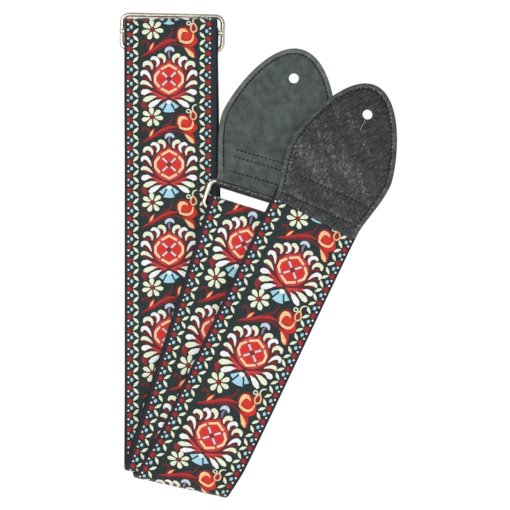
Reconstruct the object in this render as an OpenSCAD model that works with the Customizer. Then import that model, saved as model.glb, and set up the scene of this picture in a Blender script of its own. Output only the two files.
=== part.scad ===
// Adjustable guitar strap, folded flat for storage.
// One long tape of webbing, faced with a woven ribbon, runs from the front leather tab
// down to the outer fold, up the back through the slider, over the top fold, down to the
// inner fold, round the ring and back to the slider's middle bar, where its end is sewn.
// Origin under the middle of the folded strap, +Y up the strap, +Z out of its face.

/* [Tape] */
// Width of the webbing
tape_w = 50.8; // [40:0.1:56]
// Thickness of the webbing
webbing_t = 1.2; // [0.8:0.1:1.8]
// Thickness of the woven ribbon on the webbing
ribbon_t = 0.5; // [0.3:0.1:0.8]
// How far each ribbon edge stays inside the webbing's edge
ribbon_inset = 0.6; // [0.2:0.1:2]
// Gap between layers of tape that lie on each other
layer_gap = 0.3; // [0.2:0.05:0.6]
// Inside radius of the tightest fold
tight_fold_r = 0.5; // [0.3:0.1:1.5]

/* [Lay] */
// Outer fold, place of the front run's centre line, to the right of the origin
outer_fold_x = -39.7; // [-45:0.1:-35]
// Outer fold, place of the front run's centre line, above the origin
outer_fold_y = -122.9; // [-130:0.1:-115]
// Tilt of the front run from straight up
front_tilt = 26.1; // [24:0.1:30]
// Tilt of the back run
back_tilt = -0.95; // [-1.5:0.05:0]
// Tilt of the middle run
middle_tilt = 17.3; // [16:0.1:20]
// Tilt of the return run
return_tilt = 0.35; // [0:0.05:0.8]
// Length of the front run from the outer fold to the front tab
front_run_l = 159.3; // [145:0.1:175]
// Length of the back run from the outer fold to the top fold
back_run_l = 245.8; // [235:0.1:270]
// Length of the under run from the inner fold to its loop round the ring
under_run_l = 147.1; // [143:0.1:160]
// Spare room between the nested inner and outer folds
fold_margin = 0.4; // [0.2:0.1:2]

/* [Ring] */
// Wire radius of the ring
ring_wire_r = 1.25; // [1:0.05:1.6]
// Distance between the ring's two long bars
ring_bar_gap = 15; // [14:0.1:18]
// Centre-line radius of the ring's corners
ring_corner_r = 3.6; // [3:0.1:4]
// Play of the tape and the leather round the ring's wire
ring_play = 0.2; // [0.15:0.05:0.4]
// How far the tape's loop stands beyond the lower bar
ring_slack = 3.9; // [2.5:0.1:5]

/* [Slider] */
// Wire radius of the slider
slider_wire_r = 1.4; // [1.1:0.05:1.6]
// Distance between the slider's top and bottom bars
slider_bar_gap = 18.6; // [18:0.1:24]
// Centre-line radius of the slider's corners
slider_corner_r = 4; // [3:0.1:6]
// Distance of the middle bar below the top fold's bend
slider_drop = 2.75; // [1:0.05:5]
// Tilt of the slider in its plane
slider_tilt = 1.2; // [0:0.1:1.6]
// Side room for the tape in the ring and the slider
side_play = 1.1; // [1:0.05:2]
// Room between the slider's sides and the tape
slider_play = 0.75; // [0.75:0.05:2]
// Distance of the slider to the right of its tape's middle
slider_shift = 0.5; // [0:0.05:0.5]
// Length of the sewn-down tail of tape behind the middle bar
tail_l = 22; // [20:0.5:26]
// Travel of the slider along the back run
slider_travel = 20; // [10:0.5:20]
// Gap between pieces that are sewn or clamped together
seam_gap = 0.1; // [0.05:0.01:0.2]

/* [Leather tabs] */
// Thickness of the face leather
face_t = 1.4; // [1:0.1:1.8]
// Thickness of the lining leather
lining_t = 1.0; // [0.8:0.1:1.4]
// Width of a tab at its sewn end
tab_base_w = 49.2; // [44:0.1:52]
// Greatest width of the front tab
front_tab_wide_w = 60; // [54:0.1:61]
// Greatest width of the rear tab
rear_tab_wide_w = 64.5; // [58:0.1:64.8]
// Length of the front tab
front_tab_l = 79.6; // [74:0.1:90]
// Length of the rear tab from the middle of the ring's upper bar
rear_tab_l = 83.5; // [80:0.1:95]
// Distance from a tab's tip back to its greatest width
tab_nose_l = 46.5; // [42:0.1:50]
// Tilt of the front tab from straight up
front_tab_tilt = 24.6; // [23:0.1:27]
// Distance of the front tab to the right of its tape's middle
front_tab_shift = 0.8; // [0:0.1:1.5]
// Distance that the front tab's face reaches further down the tape at its right corner
front_tab_drop = 3; // [0.5:0.1:4]
// Turn of the rear tab's outline to the left, on its loop
rear_tab_turn = 1; // [0:0.1:1]
// Slope of the front tab down from its sewn end
front_tab_slope = 6.5; // [4:0.1:6.5]
// Clearance of the front tab over the rear tab's loop
tab_clear = 0.5; // [0.4:0.1:2]
// Length of tape tucked between the front tab's two leathers
tuck_l = 20; // [18:0.5:24]
// Length of the rear tab's leather that folds back round the ring
flap_l = 22; // [18:0.5:24]
// Distance beyond the ring's bar where the folded leather closes up
pinch_l = 6; // [5:0.1:8]
// Length over which a lining steps down past a tucked end
lining_step_l = 5; // [4:0.5:8]
// Diameter of the strap button hole
button_hole_d = 5.5; // [5:0.1:7]
// Distance of the button hole from a tab's tip
button_hole_in = 16.6; // [14:0.1:20]
// Distance of the front button hole to the right of its tab's middle
front_hole_shift = 2.4; // [0:0.1:3]
// Length of the slit that leads into the button hole
slit_l = 7.4; // [5:0.1:10]
// Width of the slit
slit_w = 0.6; // [0.3:0.1:1]

/* [Stitching] */
// Distance of the edge stitching from a tab's edge
stitch_inset = 3; // [2:0.1:4]
// Distance from one stitch to the next
stitch_pitch = 2.3; // [1.8:0.1:4]
// Length of one stitch
stitch_l = 1.5; // [1:0.1:1.6]
// Thickness of the thread
thread_t = 0.5; // [0.3:0.1:0.7]
// First cross row on the front tab, from its sewn end
front_row_1 = 4.5; // [3:0.1:8]
// Second cross row on the front tab, from its sewn end
front_row_2 = 17; // [12:0.1:18]
// First cross row on the rear tab, beyond where the leather closes up
rear_row_1 = 1.8; // [1:0.1:4]
// Second cross row on the rear tab, short of the folded leather's end
rear_row_2 = 6; // [5:0.1:8]
// Third cross row on the rear tab, short of the folded leather's end
rear_row_3 = 2; // [1:0.1:3]
// First row through the sewn tail, from the tail's end
tail_row_1 = 2; // [1:0.1:3]
// Second row through the sewn tail, from the tail's end
tail_row_2 = 6; // [5:0.1:8]

/* [Hidden] */
$fn = 48;

// Plan directions for a tilt to the right of straight up
function ahead(tilt) = [sin(tilt), cos(tilt)];
function across(tilt) = [cos(tilt), -sin(tilt)];
function at_z(p, z) = [p[0], p[1], z];
function ease(t) = let (x = max(0, min(1, t))) x * x * (3 - 2 * x);
function mix(a, b, t) = a + (b - a) * t;
// Distance from p along d to the plan line through q with normal g
function reach(p, d, q, g) = ((q - p) * g) / (d * g);
function radians(a) = a * PI / 180;

// Heights of the flat layers, at the face between webbing and ribbon
tape_t = webbing_t + ribbon_t;
layer = tape_t + layer_gap;
fold_z = 2 * layer + tape_t + tight_fold_r;
back_z = ribbon_t;
return_z = layer + ribbon_t;
left_z = 2 * layer + webbing_t;
under_z = fold_z + tight_fold_r + ribbon_t;
middle_z = fold_z + tight_fold_r + layer + webbing_t;
front_z = fold_z + tight_fold_r + 2 * layer + webbing_t;
inner_fold_r = tight_fold_r + ribbon_t;
middle_fold_r = middle_z - fold_z;
outer_fold_r = front_z - fold_z;

// Heights at the slider, from the floor up through bars, back run, loop and left run
slider_back_z = 2 * slider_wire_r + 2 * seam_gap + ribbon_t;
slider_loop_r = slider_wire_r + seam_gap + webbing_t;
slider_loop_z = slider_back_z + webbing_t + layer_gap + ribbon_t;
mid_bar_z = slider_loop_z + slider_loop_r;
slider_tail_z = slider_loop_z + 2 * webbing_t + seam_gap;
slider_left_z = mid_bar_z + slider_loop_r + ribbon_t + layer_gap + webbing_t;
top_fold_z = (slider_back_z + slider_left_z) / 2;
top_fold_r = (slider_left_z - slider_back_z) / 2;

// Heights at the ring and the front tab
ring_loop_r = ring_wire_r + ring_play + webbing_t;
ring_z = under_z + ring_loop_r;
ring_middle_z = ring_z + ring_loop_r;
leather_loop_r = ring_wire_r + ring_play;
leather_loop_out_r = leather_loop_r + face_t;
front_high_z = max(ring_z + leather_loop_out_r + tab_clear + lining_t, ring_middle_z + ribbon_t + layer_gap)
    + webbing_t;

// Outer fold, from the front run round to the back run
outer_fold_p = [outer_fold_x, outer_fold_y];
outer_fold_a = (front_tilt + back_tilt) / 2;
outer_fold_skew = (front_tilt - back_tilt) / 2;
outer_fold_g = -ahead(outer_fold_a);
back_p = outer_fold_p - across(outer_fold_a) * outer_fold_r * PI * tan(outer_fold_skew);
back_top_p = back_p + ahead(back_tilt) * back_run_l;

// Top fold, from the back run over to the left run, which hangs straight down
left_tilt = 0;
top_fold_a = (back_tilt + left_tilt) / 2;
top_fold_skew = left_tilt - top_fold_a;
left_top_p = back_top_p - across(top_fold_a) * top_fold_r * PI * tan(top_fold_skew);

// Inner fold, nested inside the outer fold
under_tilt = middle_tilt + return_tilt - left_tilt;
inner_fold_a = (under_tilt + left_tilt) / 2;
inner_fold_skew = (under_tilt - left_tilt) / 2;
inner_fold_g = -ahead(inner_fold_a);
fold_nest = tape_w / 2 * (tan(outer_fold_a) - tan(inner_fold_a)) + layer_gap + fold_margin;
left_run_l = -reach(left_top_p, ahead(left_tilt), outer_fold_p, outer_fold_g) - fold_nest;
left_p = left_top_p - ahead(left_tilt) * left_run_l;
under_p = left_p + across(inner_fold_a) * inner_fold_r * PI * tan(inner_fold_skew);

// Ring, with the under run and the middle run meeting in the loop
ring_tilt = (under_tilt + middle_tilt) / 2;
ring_loop_p = under_p + ahead(under_tilt) * under_run_l;
middle_run_l = -reach(ring_loop_p, ahead(middle_tilt), left_p, inner_fold_g);
middle_p = ring_loop_p - ahead(middle_tilt) * middle_run_l;
middle_fold_skew = (middle_tilt - return_tilt) / 2;
return_p = middle_p - across(inner_fold_a) * middle_fold_r * PI * tan(middle_fold_skew);
ring_low_p = ring_loop_p - ahead(ring_tilt) * ring_slack;
ring_high_p = ring_low_p + ahead(ring_tilt) * ring_bar_gap;
ring_inner_w = tape_w + 2 * side_play;
ring_rise_l = 45;
ring_flat_l = 6;

// Slider, on the back run's centre line
slider_p = back_top_p - ahead(back_tilt) * slider_drop + across(back_tilt) * slider_shift;
slider_inner_w = tape_w + 2 * slider_play;
loop_end_p = slider_p - ahead(slider_tilt) * tail_l;
// Room for the loop's slanting end at the far end of the slider's travel
lead_clear = tape_w / 2 * tan(slider_tilt) + layer_gap;
lead_p = return_p + ahead(return_tilt)
    * reach(return_p, ahead(return_tilt), loop_end_p - [0, slider_travel + lead_clear], [0, 1]);
// Back, return and left runs climb to the slider over this stretch
ramp_l = 43;
ramp_top_y = slider_p[1] - slider_bar_gap / 2 - 2 * slider_wire_r - slider_travel;
function climb(y) = ease((y - ramp_top_y + ramp_l) / ramp_l);

// Front tab, on the raised end of the front run
front_base_p = outer_fold_p + ahead(front_tilt) * front_run_l;
front_rise_from = 8;
front_rise_l = 90;
front_tab_z = front_high_z + ribbon_t;
front_tab_wide_u = front_tab_l - tab_nose_l;
front_tab_p = front_base_p + across(front_tilt) * front_tab_shift;

// Rear tab, sloped so that its tip rests on the floor
rear_plate_drop = 1 / 3;
rear_plate_z = -(face_t + leather_loop_r * rear_plate_drop);
rear_tab_slope = asin((ring_z + rear_plate_z) / rear_tab_l);
rear_tab_wide_u = rear_tab_l - tab_nose_l;

// Colours
ribbon_colour = [0.30, 0.10, 0.12];
webbing_colour = [0.05, 0.05, 0.07];
leather_colour = [0.07, 0.07, 0.07];
lining_colour = [0.20, 0.21, 0.20];
thread_colour = [0.02, 0.02, 0.02];
metal_colour = [0.80, 0.79, 0.76];

// A station of the tape is [point between webbing and ribbon, ruling, pattern side].
// A ruling is across the tape for a half width of 1, longer where a fold is skewed.
function level(p, tilt, u, z, up) = [at_z(p + ahead(tilt) * u, z), at_z(across(tilt), 0), [0, 0, up]];
function crease(p, fold_a, skew, z, up) = [at_z(p, z), at_z(across(fold_a) / cos(skew), 0), [0, 0, up]];
// A half turn from the upper run at p down to the lower run, bulging along g
function bend(p, fold_a, g, skew, z, r, drift, up, steps) = [
    for (i = [0:steps])
        let (t = 180 * i / steps)
        [at_z(p + across(fold_a) * drift * r * radians(t) + g * r * sin(t), z + r * cos(t)),
            at_z(across(fold_a) / cos(skew), 0), up * at_z(g * sin(t), cos(t))]
];

function corners(st, half_w, low, high) = [
    for (s = st)
        each [s[0] + s[2] * low - s[1] * half_w, s[0] + s[2] * low + s[1] * half_w,
            s[0] + s[2] * high + s[1] * half_w, s[0] + s[2] * high - s[1] * half_w]
];
function skin(count) = concat(
    [[0, 3, 2], [0, 2, 1]],
    [
        for (i = [0:count - 2])
            for (k = [0:3])
                let (a = 4 * i, b = a + 4, m = (k + 1) % 4)
                each [[a + k, a + m, b + m], [a + k, b + m, b + k]]
    ],
    let (e = 4 * (count - 1)) [[e, e + 1, e + 2], [e, e + 2, e + 3]]
);

// A flat strip along the stations, between two heights from the shared face
module strip(st, half_w, low, high) {
    right_handed = cross(st[0][1], st[1][0] - st[0][0]) * st[0][2] > 0;
    points = right_handed ? corners(st, half_w, low, high) : corners(st, half_w, high, low);
    polyhedron(points, skin(len(st)));
}

module webbing(st) {
    color(webbing_colour) strip(st, tape_w / 2, -webbing_t, 0);
}

module ribbon(st) {
    color(ribbon_colour) strip(st, tape_w / 2 - ribbon_inset, 0, ribbon_t);
}

fold_steps = 11;
run_steps = 8;

function front_run_z(u) = mix(front_z, front_high_z, ease((u - front_rise_from) / front_rise_l));
front_run_st = concat(
    [crease(outer_fold_p, outer_fold_a, outer_fold_skew, front_z, 1)],
    [
        for (i = [1:run_steps])
            let (u = front_run_l * i / run_steps)
            level(outer_fold_p, front_tilt, u, front_run_z(u), 1)
    ],
    [level(outer_fold_p, front_tilt, front_run_l + tuck_l, front_high_z - tuck_l * tan(front_tab_slope), 1)]
);
front_fold_st = bend(outer_fold_p, outer_fold_a, outer_fold_g, outer_fold_skew, fold_z, outer_fold_r,
    -tan(outer_fold_skew), 1, fold_steps);

back_run_st = concat(
    [crease(back_p, outer_fold_a, outer_fold_skew, back_z, -1)],
    [
        for (i = [0:run_steps])
            let (y = ramp_top_y - ramp_l + ramp_l * i / run_steps,
                u = reach(back_p, ahead(back_tilt), [0, y], [0, 1]))
            level(back_p, back_tilt, u, mix(back_z, slider_back_z, climb(y)), -1)
    ],
    [crease(back_top_p, top_fold_a, top_fold_skew, slider_back_z, -1)]
);
top_fold_st = bend(left_top_p, top_fold_a, ahead(top_fold_a), top_fold_skew, top_fold_z, top_fold_r,
    tan(top_fold_skew), 1, fold_steps);

left_run_st = concat(
    [crease(left_p, inner_fold_a, inner_fold_skew, left_z, 1)],
    [
        for (i = [0:run_steps])
            let (y = ramp_top_y - ramp_l + ramp_l * i / run_steps,
                u = reach(left_p, ahead(left_tilt), [0, y], [0, 1]))
            level(left_p, left_tilt, u, mix(left_z, slider_left_z, climb(y)), 1)
    ],
    [crease(left_top_p, top_fold_a, top_fold_skew, slider_left_z, 1)]
);
inner_fold_st = bend(under_p, inner_fold_a, inner_fold_g, inner_fold_skew, fold_z, inner_fold_r,
    -tan(inner_fold_skew), -1, fold_steps);

ring_skew = (under_tilt - middle_tilt) / 2;
under_run_st = [
    crease(under_p, inner_fold_a, inner_fold_skew, under_z, -1),
    level(under_p, under_tilt, under_run_l / 2, under_z, -1),
    crease(ring_loop_p, ring_tilt, ring_skew, under_z, -1)
];
ring_loop_st = bend(ring_loop_p, ring_tilt, ahead(ring_tilt), ring_skew, ring_z, ring_loop_r,
    0, 1, fold_steps);

function middle_run_z(u) =
    mix(middle_z, ring_middle_z, ease((u - middle_run_l + ring_rise_l) / (ring_rise_l - ring_flat_l)));
middle_run_st = concat(
    [crease(middle_p, inner_fold_a, middle_fold_skew, middle_z, 1)],
    [
        for (i = [0:run_steps])
            let (u = middle_run_l - ring_rise_l + (ring_rise_l - ring_flat_l) * i / run_steps)
            level(middle_p, middle_tilt, u, middle_run_z(u), 1)
    ],
    [crease(ring_loop_p, ring_tilt, ring_skew, ring_middle_z, 1)]
);
middle_fold_st = bend(middle_p, inner_fold_a, inner_fold_g, middle_fold_skew, fold_z, middle_fold_r,
    -tan(middle_fold_skew), 1, fold_steps);

function return_run_z(y) = mix(return_z, slider_loop_z, climb(y));
return_run_st = concat(
    [crease(return_p, inner_fold_a, middle_fold_skew, return_z, -1)],
    [
        for (i = [0:run_steps])
            let (y = mix(ramp_top_y - ramp_l, lead_p[1], i / run_steps),
                u = reach(return_p, ahead(return_tilt), [0, y], [0, 1]))
            level(return_p, return_tilt, u, return_run_z(y), -1)
    ]
);
lead_steps = 5;
return_lead_st = [
    for (i = [0:lead_steps])
        let (p = mix(lead_p, loop_end_p, i / lead_steps))
        level(p, mix(return_tilt, slider_tilt, i / lead_steps), 0, return_run_z(p[1]), -1)
];

// The sewn end, from the tail round the middle bar to the lead
tail_step_l = 10;
function tail_z(u) =
    mix(slider_tail_z, mid_bar_z + slider_loop_r, ease((u - tail_l + tail_step_l) / tail_step_l));
slider_bend_st = bend(slider_p, slider_tilt, ahead(slider_tilt), 0, mid_bar_z, slider_loop_r,
    0, 1, fold_steps);
slider_loop_st = concat(
    [
        for (i = [0:run_steps])
            let (u = tail_l * i / run_steps)
            level(loop_end_p, slider_tilt, u, tail_z(u), 1)
    ],
    [for (i = [1:fold_steps]) slider_bend_st[i]],
    [level(loop_end_p, slider_tilt, 0, slider_loop_z, -1)]
);

module front_run_webbing() { webbing(front_run_st); }
module front_run_ribbon() { ribbon(front_run_st); }
module front_fold_webbing() { webbing(front_fold_st); }
module front_fold_ribbon() { ribbon(front_fold_st); }
module back_run_webbing() { webbing(back_run_st); }
module back_run_ribbon() { ribbon(back_run_st); }
module top_fold_webbing() { webbing(top_fold_st); }
module top_fold_ribbon() { ribbon(top_fold_st); }
module left_run_webbing() { webbing(left_run_st); }
module left_run_ribbon() { ribbon(left_run_st); }
module inner_fold_webbing() { webbing(inner_fold_st); }
module inner_fold_ribbon() { ribbon(inner_fold_st); }
module under_run_webbing() { webbing(under_run_st); }
module under_run_ribbon() { ribbon(under_run_st); }
module ring_loop_webbing() { webbing(ring_loop_st); }
module ring_loop_ribbon() { ribbon(ring_loop_st); }
module middle_run_webbing() { webbing(middle_run_st); }
module middle_run_ribbon() { ribbon(middle_run_st); }
module middle_fold_webbing() { webbing(middle_fold_st); }
module middle_fold_ribbon() { ribbon(middle_fold_st); }
module return_run_webbing() { webbing(return_run_st); }
module return_run_ribbon() { ribbon(return_run_st); }
module return_lead_webbing() { webbing(return_lead_st); }
module return_lead_ribbon() { ribbon(return_lead_st); }
module slider_loop_webbing() { webbing(slider_loop_st); }
module slider_loop_ribbon() { ribbon(slider_loop_st); }

// Places the children on a plan point, with local Y ahead and local Z out of a plate
module place(p, z, tilt, slope) {
    translate(at_z(p, z)) rotate([0, 0, -tilt]) rotate([-slope, 0, 0]) children();
}

// A closed wire loop in the XY plane, with long bars along X and the origin between them
module wire_loop(inner_w, bar_gap, corner_r, wire_r) {
    half_x = inner_w / 2 + wire_r - corner_r;
    half_y = bar_gap / 2 - corner_r;
    for (s = [-1, 1]) {
        translate([-half_x, s * bar_gap / 2, 0]) rotate([0, 90, 0]) cylinder(h = 2 * half_x, r = wire_r);
        translate([s * (half_x + corner_r), half_y, 0]) rotate([90, 0, 0])
            cylinder(h = 2 * half_y, r = wire_r);
    }
    for (q = [0:3]) {
        sx = (q == 0 || q == 3) ? 1 : -1;
        sy = q < 2 ? 1 : -1;
        translate([sx * half_x, sy * half_y, 0]) rotate([0, 0, 90 * q])
            rotate_extrude(angle = 90) translate([corner_r, 0]) circle(r = wire_r);
    }
}

module ring() {
    color(metal_colour)
        place((ring_low_p + ring_high_p) / 2, ring_z, ring_tilt, 0)
            wire_loop(ring_inner_w, ring_bar_gap, ring_corner_r, ring_wire_r);
}

module slider_frame() {
    color(metal_colour)
        place(slider_p, slider_wire_r, slider_tilt, 0)
            wire_loop(slider_inner_w, slider_bar_gap, slider_corner_r, slider_wire_r);
}

// The raised middle bar, with legs that are welded onto the frame's side wires
module slider_mid_bar() {
    bar_x = slider_inner_w / 2 + slider_wire_r;
    bar_h = mid_bar_z - slider_wire_r;
    weld_reach = 4 * slider_wire_r;
    color(metal_colour)
        place(slider_p, slider_wire_r, slider_tilt, 0)
            difference() {
                union() {
                    translate([-bar_x, 0, bar_h]) rotate([0, 90, 0])
                        cylinder(h = 2 * bar_x, r = slider_wire_r);
                    for (s = [-1, 1]) {
                        translate([s * bar_x, 0, 0]) cylinder(h = bar_h, r = slider_wire_r);
                        translate([s * bar_x, 0, bar_h]) sphere(r = slider_wire_r);
                    }
                }
                for (s = [-1, 1])
                    translate([s * bar_x, weld_reach / 2, 0]) rotate([90, 0, 0])
                        cylinder(h = weld_reach, r = slider_wire_r);
            }
}

// One side of a tab's outline, from its sewn end round to its tip
side_steps = 8;
nose_steps = 14;
nose_power = 1.32;
side_power = 1.6;
function side_half(base_h, wide_h, wide_u, u) = mix(base_h, wide_h, pow(sin(90 * u / wide_u), side_power));
function tab_side(base_h, wide_h, wide_u, tip_u) = concat(
    [for (i = [0:side_steps]) let (u = wide_u * i / side_steps) [side_half(base_h, wide_h, wide_u, u), u]],
    [
        for (i = [1:nose_steps])
            let (v = sin(90 * i / nose_steps))
            [wide_h * sqrt(max(0, 1 - pow(v, nose_power))), mix(wide_u, tip_u, v)]
    ]
);
function both_sides(side) = concat(
    side,
    [for (i = [len(side) - 2:-1:0]) [-side[i][0], side[i][1]]]
);

module tab_outline(wide_w, wide_u, tip_u, back) {
    base_h = tab_base_w / 2;
    polygon(both_sides(concat([[base_h, -back]], tab_side(base_h, wide_w / 2, wide_u, tip_u))));
}

// A depth that passes right through a tab, loop and all
cut_deep = 4 * leather_loop_out_r;

// A tab's leather: its outline, as thick as a side view drawn in length and height
module tab_leather(wide_w, wide_u, tip_u, back, turn) {
    intersection() {
        translate([0, 0, -cut_deep / 2]) rotate([0, 0, turn]) linear_extrude(cut_deep)
            tab_outline(wide_w, wide_u, tip_u, back);
        rotate([90, 0, 90]) translate([0, 0, -wide_w]) linear_extrude(2 * wide_w) children();
    }
}

// The round button hole with its slit towards the sewn end
module button_hole(x, u) {
    cut_l = slit_l + button_hole_d / 2;
    translate([x, u, -cut_deep / 2]) cylinder(h = cut_deep, d = button_hole_d);
    translate([x - slit_w / 2, u - cut_l, -cut_deep / 2]) cube([slit_w, cut_l, cut_deep]);
}

front_hole_u = front_tab_l - button_hole_in;
rear_hole_u = rear_tab_l - button_hole_in;
// Heights in the front tab, from the ribbon's top
front_face_z = seam_gap / 2;
front_under_z = -(tape_t + seam_gap / 2);
// Room past the tucked tape's end before the lining steps up
tuck_spare = 1;

module on_front_tab() {
    place(front_tab_p, front_tab_z, front_tab_tilt, front_tab_slope) children();
}

module front_tab_face() {
    base_h = tab_base_w / 2;
    side = tab_side(base_h, front_tab_wide_w / 2, front_tab_wide_u, front_tab_l);
    color(leather_colour)
        on_front_tab()
            difference() {
                translate([0, 0, front_face_z]) linear_extrude(face_t)
                    polygon(concat([[base_h, -front_tab_drop]], both_sides(side)));
                button_hole(front_hole_shift, front_hole_u);
            }
}

module front_tab_lining() {
    step_u = tuck_l + tuck_spare;
    plain_u = step_u + lining_step_l;
    color(lining_colour)
        on_front_tab()
            difference() {
                tab_leather(front_tab_wide_w, front_tab_wide_u, front_tab_l, 0, 0)
                    polygon([
                        [0, front_under_z], [step_u, front_under_z],
                        [plain_u, front_face_z], [front_tab_l, front_face_z],
                        [front_tab_l, front_face_z - lining_t], [plain_u, front_face_z - lining_t],
                        [step_u, front_under_z - lining_t], [0, front_under_z - lining_t]
                    ]);
                button_hole(front_hole_shift, front_hole_u);
            }
}

module on_rear_tab() {
    place(ring_high_p, ring_z, ring_tilt, rear_tab_slope) children();
}

// Heights in the rear tab, from the ring bar's middle
rear_face_z = rear_plate_z + face_t;
rear_flap_z = rear_face_z + face_t;

// The face leather runs round the ring's bar and folds back on itself
module rear_tab_face() {
    color(leather_colour)
        on_rear_tab()
            difference() {
                tab_leather(rear_tab_wide_w, rear_tab_wide_u, rear_tab_l, cut_deep, rear_tab_turn) {
                    difference() {
                        union() {
                            circle(r = leather_loop_out_r);
                            polygon([
                                [0, -leather_loop_out_r], [pinch_l, rear_plate_z],
                                [rear_tab_l, rear_plate_z], [rear_tab_l, rear_face_z],
                                [flap_l, rear_face_z], [flap_l, rear_flap_z],
                                [pinch_l, rear_flap_z], [0, leather_loop_out_r]
                            ]);
                        }
                        circle(r = leather_loop_r);
                        polygon([[0, -leather_loop_r], [pinch_l, rear_face_z], [0, leather_loop_r]]);
                    }
                }
                rotate([0, 0, rear_tab_turn]) button_hole(0, rear_hole_u);
            }
}

module rear_tab_lining() {
    plain_u = flap_l + lining_step_l;
    color(lining_colour)
        on_rear_tab()
            difference() {
                tab_leather(rear_tab_wide_w, rear_tab_wide_u, rear_tab_l, 0, rear_tab_turn)
                    polygon([
                        [pinch_l, rear_flap_z], [flap_l, rear_flap_z],
                        [plain_u, rear_face_z], [rear_tab_l, rear_face_z],
                        [rear_tab_l, rear_face_z + lining_t], [plain_u, rear_face_z + lining_t],
                        [flap_l, rear_flap_z + lining_t], [pinch_l, rear_flap_z + lining_t]
                    ]);
                rotate([0, 0, rear_tab_turn]) button_hole(0, rear_hole_u);
            }
}

// Running length at each point of a path, and a point with its heading at a length
function step_length(path, i) = i + 1 < len(path) ? norm(path[i + 1] - path[i]) : 0;
function lengths(path) = [
    for (i = 0, s = 0; i < len(path); s = s + step_length(path, i), i = i + 1) s
];
function on_path(path, runs, s) =
    let (i = min(len(path) - 2, len([for (r = runs) if (r <= s) r]) - 1), d = path[i + 1] - path[i])
    [path[i] + d * (s - runs[i]) / norm(d), atan2(d[0], d[1])];

// One thread stitch lying on a plate, ahead along local Y
module stitch() {
    translate([-thread_t / 2, -stitch_l / 2, 0]) cube([thread_t, stitch_l, thread_t]);
}

module stitches_along(path) {
    runs = lengths(path);
    for (s = [stitch_pitch / 2:stitch_pitch:runs[len(runs) - 1]]) {
        spot = on_path(path, runs, s);
        translate(spot[0]) rotate([0, 0, -spot[1]]) stitch();
    }
}

module stitch_row(u, half_w) {
    count = floor(half_w / stitch_pitch);
    for (i = [-count:count]) translate([i * stitch_pitch, u, 0]) rotate([0, 0, 90]) stitch();
}

// The edge seam of a tab beyond a given distance from its sewn end
seam_base_h = tab_base_w / 2 - stitch_inset;
function edge_seam(wide_w, wide_u, tip_u, from_u) =
    let (side = tab_side(seam_base_h, wide_w / 2 - stitch_inset, wide_u, tip_u - stitch_inset))
    [for (q = both_sides(side)) if (q[1] > from_u) q];
row_half_w = tab_base_w / 2 - 2 * stitch_inset;

// The part of the rear tab's edge seam that crosses the folded leather, on one side
function flap_seam(side) =
    let (wide_h = rear_tab_wide_w / 2 - stitch_inset, from_u = pinch_l + rear_row_1)
    [
        for (i = [0:side_steps])
            let (u = mix(from_u, flap_l, i / side_steps))
            [side * side_half(seam_base_h, wide_h, rear_tab_wide_u, u), u]
    ];

module front_tab_edge_stitches() {
    color(thread_colour)
        on_front_tab()
            translate([0, 0, front_face_z + face_t])
                stitches_along(edge_seam(front_tab_wide_w, front_tab_wide_u, front_tab_l, stitch_l));
}

module front_tab_cross_stitches() {
    color(thread_colour)
        on_front_tab()
            translate([0, 0, front_face_z + face_t])
                for (u = [front_row_1, front_row_2]) stitch_row(u, row_half_w);
}

module rear_tab_edge_stitches() {
    plain_u = flap_l + lining_step_l;
    color(thread_colour)
        on_rear_tab() rotate([0, 0, rear_tab_turn]) {
            translate([0, 0, rear_face_z + lining_t])
                stitches_along(edge_seam(rear_tab_wide_w, rear_tab_wide_u, rear_tab_l, plain_u));
            translate([0, 0, rear_flap_z + lining_t])
                for (side = [-1, 1]) stitches_along(flap_seam(side));
        }
}

module rear_tab_cross_stitches() {
    color(thread_colour)
        on_rear_tab()
            rotate([0, 0, rear_tab_turn]) translate([0, 0, rear_flap_z + lining_t])
                for (u = [pinch_l + rear_row_1, flap_l - rear_row_2, flap_l - rear_row_3])
                    stitch_row(u, row_half_w);
}

module slider_loop_stitches() {
    color(thread_colour)
        place(loop_end_p, slider_tail_z + ribbon_t, slider_tilt, 0)
            for (u = [tail_row_1, tail_row_2]) stitch_row(u, row_half_w);
}

front_run_webbing();
front_run_ribbon();
front_fold_webbing();
front_fold_ribbon();
back_run_webbing();
back_run_ribbon();
top_fold_webbing();
top_fold_ribbon();
left_run_webbing();
left_run_ribbon();
inner_fold_webbing();
inner_fold_ribbon();
under_run_webbing();
under_run_ribbon();
ring_loop_webbing();
ring_loop_ribbon();
middle_run_webbing();
middle_run_ribbon();
middle_fold_webbing();
middle_fold_ribbon();
return_run_webbing();
return_run_ribbon();
return_lead_webbing();
return_lead_ribbon();
slider_loop_webbing();
slider_loop_ribbon();
slider_loop_stitches();
slider_frame();
slider_mid_bar();
ring();
front_tab_face();
front_tab_lining();
front_tab_edge_stitches();
front_tab_cross_stitches();
rear_tab_face();
rear_tab_lining();
rear_tab_edge_stitches();
rear_tab_cross_stitches();
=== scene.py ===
import math

import bmesh
import bpy
import numpy as np
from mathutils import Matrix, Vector
from mathutils.geometry import delaunay_2d_cdt


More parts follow.
